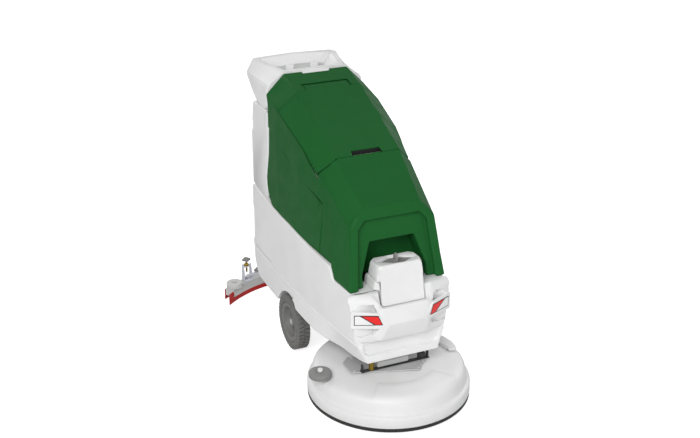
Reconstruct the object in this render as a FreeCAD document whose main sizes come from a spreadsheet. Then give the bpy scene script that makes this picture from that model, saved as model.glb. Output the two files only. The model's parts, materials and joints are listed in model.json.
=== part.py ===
import FreeCAD, Part
import math
import os
import re
import Sketcher
from FreeCAD import Placement, Rotation, Vector

# Walk-behind wet dry floor scrubber. Millimetres, +Z up, front of the machine towards -Y.
# Every sub-part is drawn in the deck frame, whose origin is on the floor under the centre of the brush,
# and its Placement then shifts it along Y so that the part's origin is the middle of its footprint.

document = FreeCAD.newDocument("floor_scrubber")
sheet = document.addObject("Spreadsheet::Sheet", "sizes")

SIZES = [
    # body and seams
    ("half_width", 208), ("skirt_z", 190), ("tail_z", 150), ("fold_z", 263), ("parting_z", 437),
    ("parting_step", 44), ("wall", 5), ("seam", 1.5), ("nose_y", -109), ("tail_y", 886),
    ("belly_y", 380),
    ("battery_floor", 246), ("battery_half_width", 150),
    # hood, lid and console
    ("brow_y", -4), ("brow_z", 700), ("hood_rear_y", 631), ("hood_top", 990), ("lid_front_y", 182),
    ("lid_rear_y", 507), ("lid_wall", 5), ("lid_gap", 4), ("lid_pivot_z", 961.5), ("lid_bead", 3.5),
    ("finger_slot", 56), ("console_top", 994), ("lip_z", 945),
    ("tray_depth", 36), ("knob_x", 49), ("knob_travel", 2),
    # tank hinge and filler
    ("tank_hinge_y", 850), ("tank_hinge_z", 492), ("pin_radius", 4), ("pin_fit", 0.05),
    ("filler_half_width", 78), ("filler_z", 467), ("filler_top", 521), ("hinge_pin", 2.5),
    # wheels
    ("wheel_radius", 105), ("wheel_width", 52), ("wheel_x", 183.5), ("wheel_y", 421), ("arch_gap", 11),
    ("rim_radius", 74), ("axle_radius", 10), ("axle_fit", 0.05), ("caster_radius", 40),
    ("caster_x", 72), ("caster_y", 690), ("caster_width", 26), ("caster_trail", 26),
    # brush deck
    ("deck_radius", 283), ("deck_ledge_z", 60), ("dome_radius", 264), ("dome_z", 118), ("deck_top", 128),
    ("deck_wall", 5), ("skirt_gap", 8), ("brush_radius", 262), ("bristle_height", 45), ("shaft_radius", 12),
    ("shaft_fit", 0.05), ("guide_radius", 39), ("guide_x", -262), ("guide_y", -12), ("arm_length", 170),
    ("arm_rear_y", 240), ("arm_rear_z", 163), ("link_offset", 44),
    # squeegee
    ("squeegee_centre", 496), ("squeegee_radius", 450), ("squeegee_depth", 45), ("squeegee_top", 50),
    ("blade", 3.5), ("blade_show", 18), ("roller_radius", 32), ("roller_x", 260), ("roller_y", 886),
    ("bracket_x", 190), ("swing_y", 640), ("lift_y", 760), ("lift_z", 132),
]

for row, (alias, value) in enumerate(SIZES, start=1):
    sheet.set(f"A{row}", alias)
    sheet.set(f"B{row}", str(value))
    sheet.setAlias(f"B{row}", alias)
document.recompute()

NAMES = re.compile(r"\b(" + "|".join(sorted((alias for alias, _ in SIZES), key=len, reverse=True)) + r")\b")
# The footprint runs from the front of the deck to the rear blade; this brings its middle to the origin.
SHIFT = "(deck_radius - squeegee_centre - squeegee_radius - squeegee_depth - blade) / 2"
FULL_TURN = 360
parts = []


def bound(text):
    """A size written in the sheet's names, as an expression the document understands."""
    return NAMES.sub(r"sizes.\1", str(text))


def number(text):
    """The present value of a size written in the sheet's names."""
    return float(sheet.evalExpression(bound(text)))


def bind(item, prop, text):
    """Holds one property of an object to a size."""
    item.setExpression(prop, bound(text))


def seat(item, label=None, x=0, y=0, z=0, turn=None):
    """Gives a sub-part its Placement in the part's frame and, with a label, keeps it as a node."""
    if turn is not None:
        axis, angle = turn
        item.Placement = Placement(Vector(), Rotation(Vector(*axis), angle))
    bind(item, "Placement.Base.x", x)
    item.setExpression("Placement.Base.y", bound(f"{y} + {SHIFT}"))
    bind(item, "Placement.Base.z", z)
    if label:
        item.Label = label
        parts.append(item)
    return item


def body(label, **place):
    item = document.addObject("PartDesign::Body", label)
    return seat(item, label, **place)


def plane(owner, role):
    return next(item for item in owner.Origin.OriginFeatures if item.Role == role)


def sketch(owner, role, outline, holes=(), offset=0, inner=()):
    """A closed outline, an inner outline and round holes (x, y, radius), all held to the sheet's sizes."""
    drawing = owner.newObject("Sketcher::SketchObject", owner.Label + "_sketch")
    drawing.AttachmentSupport = [(plane(owner, role), "")]
    drawing.MapMode = "FlatFace"
    if offset:
        bind(drawing, "AttachmentOffset.Base.z", offset)

    def pin(geometry, end, x, y):
        for kind, text, axis in (("DistanceX", x, -2), ("DistanceY", y, -1)):
            value = number(text)
            if abs(value) < 1e-9:
                drawing.addConstraint(Sketcher.Constraint("PointOnObject", geometry, end, axis))
                continue
            index = drawing.addConstraint(Sketcher.Constraint(kind, -1, 1, geometry, end, value))
            if re.search(r"[a-z]", str(text)):
                drawing.setExpression(f"Constraints[{index}]", bound(text))

    first = 0
    for loop in (outline, inner):
        corners = [Vector(number(x), number(y), 0) for x, y in loop]
        count = len(corners)
        for index in range(count):
            drawing.addGeometry(Part.LineSegment(corners[index], corners[(index + 1) % count]))
        for index in range(count):
            joined = Sketcher.Constraint("Coincident", first + index, 2, first + (index + 1) % count, 1)
            drawing.addConstraint(joined)
        for index, (x, y) in enumerate(loop):
            pin(first + index, 1, x, y)
        first += count
    for x, y, radius in holes:
        circle = drawing.addGeometry(Part.Circle(Vector(number(x), number(y), 0), Vector(0, 0, 1),
                                                 number(radius)))
        index = drawing.addConstraint(Sketcher.Constraint("Radius", circle, number(radius)))
        if re.search(r"[a-z]", str(radius)):
            drawing.setExpression(f"Constraints[{index}]", bound(radius))
        pin(circle, 3, x, y)
    return drawing


def disc(owner, role, x, y, radius, offset=0):
    """A sketch of one circle."""
    return sketch(owner, role, [], [(x, y, radius)], offset)


def mirrored(half):
    """A half outline, listed from the middle outwards and back to the middle, made whole."""
    left = [(f"-({x})", y) for x, y in reversed(half) if number(x) > 1e-6]
    right = [(x, y) for x, y in half]
    return right + left


def pad(owner, drawing, length, symmetric=False, reverse=False):
    feature = owner.newObject("PartDesign::Pad", owner.Label + "_pad")
    feature.Profile = drawing
    bind(feature, "Length", length)
    if symmetric:
        feature.SideType = "Symmetric"
    feature.Reversed = reverse
    return feature


def pocket(owner, drawing, depth=None, symmetric=False, reverse=False):
    """A cut with a stated depth, or through everything on both sides of its plane when none is given."""
    feature = owner.newObject("PartDesign::Pocket", owner.Label + "_pocket")
    feature.Profile = drawing
    if depth is None:
        feature.Type = "ThroughAll"
        feature.SideType = "Symmetric"
    else:
        bind(feature, "Length", depth)
        feature.Reversed = reverse
        if symmetric:
            feature.SideType = "Symmetric"
    return feature


def revolve(owner, drawing, axis="V_Axis"):
    feature = owner.newObject("PartDesign::Revolution", owner.Label + "_turned")
    feature.Profile = drawing
    feature.ReferenceAxis = (drawing, [axis])
    feature.Angle = FULL_TURN
    return feature


def loft(owner, role, sections, cut=False):
    """A ruled loft through sections, each (offset, outline), all with the same number of points."""
    kind = "PartDesign::SubtractiveLoft" if cut else "PartDesign::AdditiveLoft"
    drawings = [sketch(owner, role, outline, offset=offset) for offset, outline in sections]
    feature = owner.newObject(kind, owner.Label + "_loft")
    feature.Profile = drawings[0]
    feature.Sections = drawings[1:]
    feature.Ruled = True
    return feature


def across(stations):
    """Sections across the machine: each station is (y, half outline of x, z)."""
    return [(f"-({y})", mirrored(half)) for y, half in stations]


def level(stations):
    """Level sections: each station is (z, half outline of x, y)."""
    return [(z, mirrored(half)) for z, half in stations]


def cylinder(radius, height, x=0, y=0, z=0, axis="z", label=None):
    """A round bar whose first end is at the point given."""
    item = document.addObject("Part::Cylinder", (label or "round") + "_bar")
    bind(item, "Radius", radius)
    bind(item, "Height", height)
    turns = {"x": ((0, 1, 0), 90), "y": ((1, 0, 0), -90), "z": None}
    return seat(item, label, x=x, y=y, z=z, turn=turns[axis])


def block(width, depth, height, x=0, y=0, z=0, label=None):
    """A box whose low corner is at the point given."""
    item = document.addObject("Part::Box", (label or "block") + "_box")
    bind(item, "Length", width)
    bind(item, "Width", depth)
    bind(item, "Height", height)
    return seat(item, label, x=x, y=y, z=z)


def fuse(label, shapes):
    item = document.addObject("Part::MultiFuse", label)
    item.Shapes = shapes
    item.Refine = True
    item.Label = label
    parts.append(item)
    return item


def cut(label, base, tools):
    """The base less the tools. Only the result is kept as a node."""
    if base in parts:
        parts.remove(base)
        base.Label = label + "_blank"
    if len(tools) > 1:
        tool = document.addObject("Part::MultiFuse", label + "_tools")
        tool.Shapes = tools
    else:
        tool = tools[0]
    item = document.addObject("Part::Cut", label)
    item.Base = base
    item.Tool = tool
    item.Label = label
    parts.append(item)
    return item


# ---------------------------------------------------------------- lower body

def solution_tank():
    """The lower moulding: a skirt that flares over the wheels, a fold line, and the battery well inside."""
    item = body("solution_tank")
    widths = [  # y, inset of the skirt edge, of the fold line and of the parting line from half_width
        ("nose_y", 70, 42, 36), (-60, 56, 36, 32), (34, 39, 27, 25), (104, 14, 21, 20), (166, 2, 17, 17),
        (254, 0, 10, 14), (363, 0, 7, 12), (541, 0, 2, 11), (716, 4, 4, 11), (790, 10, 9, 14),
        ("tail_y - 46", 24, 22, 24), ("tail_y - 18", 48, 46, 48), ("tail_y", 96, 94, 96),
    ]
    stations = []
    for y, skirt, fold, parting in widths:
        half = [
            (0, "tail_z"), (f"half_width - {skirt}", "tail_z"), (f"half_width - {skirt}", "skirt_z"),
            (f"half_width - {fold}", "fold_z"), (f"half_width - {parting}", "parting_z"),
            (f"half_width - {parting}", "parting_z + 110"), (0, "parting_z + 110"),
        ]
        stations.append((y, half))
    loft(item, "XZ_Plane", across(stations))
    step = "parting_z + parting_step"
    # Everything in front of the nose, then above the parting line, below the belly and behind the stern.
    pocket(item, sketch(item, "YZ_Plane", [
        ("nose_y - 20", "tail_z - 20"), ("nose_y", "tail_z - 20"), ("nose_y", "skirt_z"),
        ("nose_y + 17", "fold_z"),
        ("nose_y + 34", "parting_z - 33"), ("nose_y + 47", "parting_z"), ("nose_y + 47", "parting_z + 130"),
        ("nose_y - 20", "parting_z + 130"),
    ]))
    pocket(item, sketch(item, "YZ_Plane", [
        ("nose_y - 20", "parting_z - seam"), (55, "parting_z - seam"), (87, f"{step} - seam - 2"),
        (261, f"{step} + 1"), (417, f"{step} + 11"), (601, f"{step} + 19"), (790, f"{step} + 42"),
        (837, f"{step} + 24"), (850, f"{step} - 4"), ("tail_y - 16", f"{step} - 60"),
        ("tail_y + 20", f"{step} - 60"), ("tail_y + 20", "parting_z + 130"),
        ("nose_y - 20", "parting_z + 130"),
    ]))
    pocket(item, sketch(item, "YZ_Plane", [
        ("nose_y - 20", "tail_z - 20"), ("belly_y", "tail_z - 20"), ("belly_y", "skirt_z"),
        ("nose_y - 20", "skirt_z"),
    ]))
    pocket(item, sketch(item, "YZ_Plane", [
        ("tail_y - 150", "tail_z - 20"), ("tail_y - 150", "tail_z"), ("tail_y - 130", "tail_z + 8"),
        ("tail_y - 90", "tail_z + 32"), ("tail_y - 50", "tail_z + 67"), ("tail_y - 28", "tail_z + 120"),
        ("tail_y - 8", "tail_z + 201"), ("tail_y", "tail_z + 283"), ("tail_y + 30", "tail_z + 283"),
        ("tail_y + 30", "tail_z - 20"),
    ]))
    # The sunk panel low on the nose.
    pocket(item, sketch(item, "XZ_Plane", mirrored([
        (0, "skirt_z + 22"), (118, "skirt_z + 22"), (140, "skirt_z + 34"), (141, "fold_z - 6"),
        (0, "fold_z - 6"),
    ]), offset="-(nose_y + 20)"), 60, reverse=True)
    pocket(item, sketch(item, "XY_Plane", [
        ("-battery_half_width", "nose_y + 120"), ("battery_half_width", "nose_y + 120"),
        ("battery_half_width", "tail_y - 250"), ("-battery_half_width", "tail_y - 250"),
    ], offset="battery_floor"), "400", reverse=True)
    for side in (-1, 1):
        arch = disc(item, "YZ_Plane", "wheel_y", "wheel_radius", "wheel_radius + arch_gap",
                    offset="wheel_x - wheel_width / 2 - 12" if side > 0
                    else "-(wheel_x - wheel_width / 2 - 12)")
        pocket(item, arch, "half_width", reverse=side > 0)
    # Notches for the two tank hinges.
    for side in (-1, 1):
        x = 100 * side
        pocket(item, sketch(item, "XY_Plane", [
            (f"{x} - 33", "tank_hinge_y - 24"), (f"{x} + 33", "tank_hinge_y - 24"),
            (f"{x} + 33", "tail_y + 20"), (f"{x} - 33", "tail_y + 20"),
        ], offset="tank_hinge_z - 12"), "200", reverse=True)
    return item


def front_fascia():
    """The faceted nose panel, with a flat recess each side for a lamp."""
    item = body("front_fascia")
    back = "nose_y + 18"
    sections = [  # z, then y of the middle, x of the nose corner, x and y of the cheek, x and y of the edge
        ("fold_z", -108, 87, 116, -98, 174, -88), ("fold_z + 12", -118, 87, 116, -101, 176, -87),
        ("fold_z + 73", -139, 67, 114, -113, 182, -82), ("fold_z + 128", -125, 79, 114, -111, 187, -77),
        ("fold_z + 150", -110, 80, 113, -104, 188, -75), ("parting_z - 3", -84, 84, 112, -82, 183, -64),
    ]
    stations = []
    for z, middle_y, nose_x, cheek_x, cheek_y, edge_x, edge_y in sections:
        edge = f"half_width - {208 - edge_x}"
        front = f"{middle_y + 109} + nose_y"
        half = [(0, front), (nose_x, front), (cheek_x, f"{cheek_y + 109} + nose_y"),
                (edge, f"{edge_y + 109} + nose_y"), (edge, "nose_y + 62"), (0, "nose_y + 62")]
        stations.append((z, half))
    loft(item, "XY_Plane", level(stations))
    # The back follows the front of the tank, one seam away.
    pocket(item, sketch(item, "YZ_Plane", [
        (f"{back} - seam", "fold_z - 5"), (f"{back} - 1 - seam", "fold_z"),
        (f"{back} + 16 - seam", "parting_z - 33"),
        (f"{back} + 29 - seam", "parting_z"), ("nose_y + 90", "parting_z"), ("nose_y + 90", "fold_z - 5"),
    ]))
    # A slot for the apron of the filler cap.
    apron = "filler_half_width + 3"
    pocket(item, sketch(item, "XY_Plane", [
        (f"-({apron})", -112), (apron, -112), (f"{apron} + 3", -86), (apron, -72), (f"-({apron})", -72),
        (f"-({apron} + 3)", -86),
    ], offset="fold_z + 124"), 100, reverse=True)
    # The ledge at the foot of the apron, whose sides rise to the shoulders.
    loft(item, "XY_Plane", level([
        ("fold_z + 128", [(0, -150), ("filler_half_width + 2", -150), ("filler_half_width + 2", -100),
                          (0, -100)]),
        ("parting_z + 4", [(0, -150), ("filler_half_width + 38", -150), ("filler_half_width + 34", -84),
                           (0, -84)]),
    ]), cut=True)
    for side in (-1, 1):
        x = [f"{side} * {value}" for value in (104, 158, 154, 108)]
        recess = sketch(item, "XZ_Plane", [(x[0], 296), (x[1], 288), (x[2], 398), (x[3], 401)],
                        offset="-(nose_y + 10)")
        pocket(item, recess, 80, reverse=True)
    return item


def lamps():
    """A raised bezel in each recess of the nose, and the reflector plate on it."""
    # The lamp face leans in plan: it comes forward towards the middle of the machine.
    lean = math.degrees(math.atan2(34, 82))
    for label, corners, start, depth in (
        ("lamp_bezels", ((-29, 336), (-13, 322), (89, 323), (89, 383), (1, 376)), -1.5, 6),
        ("reflector_plates", ((-14, 337), (80, 337), (81, 371.5), (0, 369)), 4.7, 1.6),
    ):
        pair = []
        for side in (-1, 1):
            item = document.addObject("PartDesign::Body", label + "_one")
            seat(item, x=f"{side} * (half_width - 110)", y="nose_y - 8", turn=((0, 0, 1), lean * side))
            outline = [(f"{side} * {x}", z) for x, z in corners]
            pad(item, sketch(item, "XZ_Plane", outline, offset=start), depth)
            pair.append(item)
        fuse(label, pair)
    fascia, bezels, plates = (next(item for item in parts if item.Label == name)
                              for name in ("front_fascia", "lamp_bezels", "reflector_plates"))
    cut("front_fascia", fascia, [bezels, plates])


def chassis():
    """The steel frame under the body, with lugs for the axle, the casters, the deck arms and the squeegee."""
    frame = body("chassis_frame")
    high = "skirt_z - 6"
    low = "tail_z - 6"
    outline = [
        (110, high), ("belly_y - 6.3", high), ("belly_y - 6.3", low), ("swing_y + 60", low),
        ("swing_y + 60", "tail_z - 0.3"), ("belly_y - 0.3", "tail_z - 0.3"),
        ("belly_y - 0.3", "skirt_z - 0.3"),
        (110, "skirt_z - 0.3"),
    ]
    pad(frame, sketch(frame, "YZ_Plane", outline), "2 * caster_x + 60", symmetric=True)
    lug_x = "wheel_x - wheel_width / 2 - 30"
    for side in (-1, 1):
        start = f"{lug_x}" if side > 0 else f"-({lug_x}) - 8"
        lug = sketch(frame, "YZ_Plane", [
            ("wheel_y - 34", "tail_z - 4"), ("wheel_y - 20", "wheel_radius - 22"),
            ("wheel_y + 20", "wheel_radius - 22"),
            ("wheel_y + 34", "tail_z - 4"),
        ], [("wheel_y", "wheel_radius", "axle_radius + axle_fit")], offset=start)
        pad(frame, lug, 8)
        shelf = sketch(frame, "XY_Plane", [
            (f"{side} * caster_x", "wheel_y - 34"), (f"{side} * ({lug_x} + 8)", "wheel_y - 34"),
            (f"{side} * ({lug_x} + 8)", "wheel_y + 34"), (f"{side} * caster_x", "wheel_y + 34"),
        ], offset="tail_z - 6")
        pad(frame, shelf, 5.7)
        for y, z, x in (("arm_rear_y", "arm_rear_z", 60), ("arm_rear_y + link_offset", "arm_rear_z", 9)):
            bracket = sketch(frame, "YZ_Plane", [
                (f"{y} - 11", f"{z} - 10"), (f"{y} + 11", f"{z} - 10"), (f"{y} + 14", "skirt_z - 5"),
                (f"{y} - 14", "skirt_z - 5"),
            ], offset=f"{side} * {x} - 2.5")
            pad(frame, bracket, 5)
    # The fixed pins that the deck's arms turn on.
    pad(frame, disc(frame, "YZ_Plane", "arm_rear_y + link_offset", "arm_rear_z", "pin_radius"), 32,
        symmetric=True)
    for side in (-1, 1):
        pad(frame, disc(frame, "YZ_Plane", "arm_rear_y", "arm_rear_z", "pin_radius", offset=58 * side), 16,
            reverse=side < 0)
    for side in (-1, 1):
        pocket(frame, disc(frame, "XY_Plane", f"{side} * caster_x", "caster_y", "pin_radius + 4 + pin_fit"))
    pocket(frame, disc(frame, "XY_Plane", 0, "swing_y", "pin_radius + 4 + pin_fit"))
    cylinder("axle_radius", "2 * (wheel_x + wheel_width / 2) - 24", x="12 - wheel_x - wheel_width / 2",
             y="wheel_y", z="wheel_radius", axis="x", label="wheel_axle")


def batteries():
    """Two traction batteries side by side in the well."""
    cases = []
    for side in (-1, 1):
        case = block("battery_half_width - 8", 330, 200, x=3 if side > 0 else "-battery_half_width + 5",
                     y="nose_y + 192", z="battery_floor + 0.3")
        posts = [cylinder(9, 14, x=f"{side} * battery_half_width / 2", y=f"nose_y + {y}",
                          z="battery_floor + 199") for y in (232, 482)]
        cases += [case] + posts
    fuse("batteries", cases)


def filler():
    """The filling neck in the arch, and its cap: a block with a front apron that tips forward."""
    neck = body("filler_neck")
    w = "filler_half_width"
    loft(neck, "XY_Plane", level([
        ("parting_z - 1.2", [(0, -81), (w, -81), (f"{w} + 30", -56), (f"{w} + 30", 8), (0, 8)]),
        ("filler_z - 12", [(0, -78), (w, -78), (f"{w} + 31", -58), (f"{w} + 33", 8), (0, 8)]),
        ("filler_z - 1", [(0, -76), (w, -76), (f"{w} + 30", -54), (f"{w} + 30", 8), (0, 8)]),
    ]))
    pocket(neck, sketch(neck, "XY_Plane", [(-52, -62), (52, -62), (52, -14), (-52, -14)],
                        offset="parting_z + 6"), 60, reverse=True)
    cap = body("filler_cap")
    loft(cap, "XY_Plane", level([
        ("filler_z", [(0, -89), (w, -89), (f"{w} + 36", -57), (f"{w} + 30", -6), (f"{w} - 6", 6), (0, 6)]),
        ("filler_z + 12", [(0, -86), (w, -86), (f"{w} + 27", -57), (f"{w} + 20", -8), (f"{w} - 8", 5),
                           (0, 5)]),
        ("filler_top - 8", [(0, -79), (w, -79), (f"{w} + 11", -60), (f"{w} + 8", -10), (f"{w} - 11", 3),
                            (0, 3)]),
        ("filler_top", [(0, -76), (f"{w} - 4", -76), (f"{w} + 5", -58), (f"{w} + 2", -12), (f"{w} - 14", 0),
                        (0, 0)]),
    ]))
    loft(cap, "XY_Plane", level([
        ("fold_z + 127", [(0, -109), (f"{w} - 3", -109), (f"{w} + 1", -104), (f"{w} + 1", -98), (0, -98)]),
        ("filler_z", [(0, -89), (w, -89), (f"{w} + 4", -84), (f"{w} + 4", -80), (0, -80)]),
    ]))
    pocket(cap, disc(cap, "YZ_Plane", -104, "fold_z + 131", "hinge_pin + pin_fit"))
    pocket(cap, sketch(cap, "XY_Plane", [(f"3 - {w}", -40), (0, -68), (f"{w} - 3", -40), (0, -11)],
                       offset="filler_top - 9"), 30, reverse=True)
    pocket(cap, sketch(cap, "XY_Plane", [(-46, -58), (46, -58), (46, -18), (-46, -18)],
                       offset="filler_top - 14"), 60)
    latch = body("filler_latch", y=-40)
    pad(latch, disc(latch, "XY_Plane", 0, 0, 11, offset="filler_top - 8.8"), 6)
    lever = sketch(latch, "YZ_Plane", [
        (-13, "filler_top - 4"), (13, "filler_top - 4"), (9, "filler_top + 14"), (3, "filler_top + 22"),
        (-5, "filler_top + 20"),
    ])
    pad(latch, lever, 9, symmetric=True)
    cylinder("hinge_pin", "2 * filler_half_width + 8", x="-filler_half_width - 4", y=-104,
             z="fold_z + 131", axis="x", label="filler_hinge_pin")


# ---------------------------------------------------------------- tank assembly that tilts back

CREASES = [  # y, half width at the foot, outer crease x and z, inner crease x and z
    (-70, 32, 59, "brow_z - 79", 110, "brow_z - 41"), ("brow_y", 30, 55.5, "brow_z - 50", 105, "brow_z"),
    ("lid_front_y", 20, 38.6, "hood_top - 241", 90, "hood_top - 173"),
    (348, 14, 20, "hood_top - 156", 88, "hood_top - 101"),
    ("lid_rear_y", 11, 13, "hood_top - 100", 87, "hood_top - 33"),
    ("hood_rear_y", 13, 16, "hood_top - 69", 86, "hood_top"),
    ("hood_rear_y + 40", 13, 17, "hood_top - 66", 86, "hood_top + 5"),
]


def hood_sections(inset, first=0, foot="parting_z"):
    """Sections of the hood, each pulled inwards by the inset."""
    stations = []
    for y, base, outer, outer_z, inner, inner_z in CREASES[first:]:
        stations.append((y, [
            (0, foot), (f"half_width - {base} - {inset}", foot),
            (f"half_width - {outer} - {inset}", f"{outer_z} - {inset} * 0.4"),
            (f"half_width - {inner} - {inset} * 0.5", f"{inner_z} - {inset}"), (0, f"{inner_z} - {inset}"),
        ]))
    return stations


def lid_outline(gap):
    """The lid's edge seen from above; the gap grows it."""
    half = [
        (0, f"lid_front_y - {gap}"), (f"half_width - 90 + {gap} / 2", f"lid_front_y - {gap}"),
        (f"half_width - 39 + {gap}", f"lid_front_y + 29 - {gap}"), (f"half_width - 23 + {gap}", 348),
        (f"half_width - 16 + {gap}", f"lid_rear_y + {gap}"), (f"82 + {gap}", f"lid_rear_y + {gap}"),
        (f"82 + {gap}", f"lid_rear_y + 34 + {gap}"), (0, f"lid_rear_y + 34 + {gap}"),
    ]
    return mirrored(half)


def hood():
    """The green cover: a faceted shell with the arch for the filler at its front."""
    item = body("hood")
    loft(item, "XZ_Plane", across(hood_sections(0)))
    rear = "hood_rear_y"
    pocket(item, sketch(item, "YZ_Plane", [
        (-90, "parting_z - 20"), (-62, "parting_z - 20"), (-62, "parting_z"), ("brow_y", "brow_z"),
        ("brow_y", "brow_z + 90"), (-90, "brow_z + 90"),
    ]))
    pocket(item, sketch(item, "YZ_Plane", [
        (-90, "parting_z - 20"), (-90, "parting_z"), (55, "parting_z"), (87, "parting_z + parting_step"),
        (261, "parting_z + parting_step + 2.5"), (417, "parting_z + parting_step + 12.5"),
        (f"{rear} - 30", "parting_z + parting_step + 20.5"), (f"{rear} + 4", "hood_top - 460"),
        (f"{rear} + 18", "hood_top - 425"), (f"{rear} + 20", "hood_top - 390"),
        (f"{rear} - 6", "hood_top - 290"),
        (f"{rear} - 13", "hood_top - 190"), (f"{rear} - 14", "hood_top - 105"), (rear, "hood_top - 69"),
        (rear, "hood_top + 30"), (f"{rear} + 90", "hood_top + 30"), (f"{rear} + 90", "parting_z - 20"),
    ]))
    # The hollow starts behind the arch.
    inner = []
    for y, half in hood_sections("wall", first=2, foot="parting_z - 5"):
        inner.append((y, half))
    front = ("brow_y + 80", [
        (0, "parting_z - 5"), ("half_width - 27 - wall", "parting_z - 5"),
        ("half_width - 48 - wall", "brow_z + 2 - wall"), ("half_width - 98 - wall", "brow_z + 50 - wall"),
        (0, "brow_z + 50 - wall"),
    ])
    loft(item, "XZ_Plane", across([front] + inner), cut=True)
    # Arch: a shallow frame that follows the sloping front, then the deep recess round the filler.
    loft(item, "XY_Plane", level([
        ("parting_z - 10", [(0, -120), ("half_width - 64", -120), ("half_width - 64", -46), (0, -46)]),
        ("brow_z - 66", [(0, -120), ("half_width - 84", -120), ("half_width - 84", -1), (0, -1)]),
        ("brow_z - 39", [(0, -120), ("half_width - 108", -120), ("half_width - 108", 5), (0, 5)]),
    ]), cut=True)
    room = "filler_half_width + 40"
    loft(item, "XY_Plane", level([
        ("parting_z - 10", [(0, -120), (room, -120), (room, 58), (0, 58)]),
        ("filler_z + 12", [(0, -120), (f"{room} - 1", -120), (f"{room} - 1", 58), (0, 58)]),
        ("brow_z - 116", [(0, -120), ("filler_half_width + 3", -120), ("filler_half_width + 3", 56),
                          (0, 56)]),
    ]), cut=True)
    # Opening for the lid, deep enough to clear it, with the tab behind, and the notch for the console's tab.
    opening = []
    for y, edge, low in (("lid_front_y - lid_gap", 90, 266), ("lid_front_y + 26 - lid_gap", 37, 252),
                         (348, 22, 181),
                         ("lid_rear_y + seam", 15, 125)):
        reach = f"half_width - {edge} + seam"
        opening.append((y, [(0, f"hood_top - {low}"), (reach, f"hood_top - {low}"), (reach, "hood_top + 20"),
                            (0, "hood_top + 20")]))
    loft(item, "XZ_Plane", across(opening), cut=True)
    pocket(item, sketch(item, "XY_Plane", [
        ("-82 - seam", "lid_rear_y - 5"), ("82 + seam", "lid_rear_y - 5"),
        ("82 + seam", "lid_rear_y + 34 + lid_gap"),
        ("-82 - seam", "lid_rear_y + 34 + lid_gap"),
    ], offset="hood_top - 60"), 200, reverse=True)
    pocket(item, sketch(item, "XY_Plane", [
        (-57, f"{rear} + 10"), (-52, f"{rear} - 12"), (52, f"{rear} - 12"), (57, f"{rear} + 10"),
    ], offset="hood_top - 20"), 60, reverse=True)


def lid():
    """The tank lid: the same outer faces as the hood, with a finger slot at its front edge."""
    item = body("lid")
    loft(item, "XZ_Plane", across(hood_sections(0, first=1)))
    loft(item, "XZ_Plane", across(hood_sections("lid_wall", first=1, foot="parting_z - 5")), cut=True)
    edge = 300
    rim = [(0, -90), (edge, -90), (edge, "hood_rear_y + 90"), (0, "hood_rear_y + 90")]
    pocket(item, sketch(item, "XY_Plane", mirrored(rim), offset="hood_top - 400", inner=lid_outline(0)))
    # The lid stops just under the outer crease.
    pocket(item, sketch(item, "YZ_Plane", [
        (-90, "hood_top - 262"), ("lid_front_y", "hood_top - 258"), (348, "hood_top - 173"),
        ("lid_rear_y", "hood_top - 117"), ("lid_rear_y", "hood_top - 60"),
        ("hood_rear_y + 90", "hood_top - 60"),
        ("hood_rear_y + 90", "parting_z - 40"), (-90, "parting_z - 40"),
    ]))
    pocket(item, sketch(item, "XY_Plane", [
        ("-finger_slot", "lid_front_y - 5"), ("finger_slot", "lid_front_y - 5"),
        ("finger_slot - 4", "lid_front_y + 22"), ("-finger_slot + 4", "lid_front_y + 22"),
    ], offset="hood_top - 300"), 400, reverse=True)
    # The lid turns on the round bead at the end of its tongue.
    pad(item, disc(item, "YZ_Plane", "lid_rear_y + 30.5", "lid_pivot_z", "lid_bead"), 160, symmetric=True)


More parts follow.
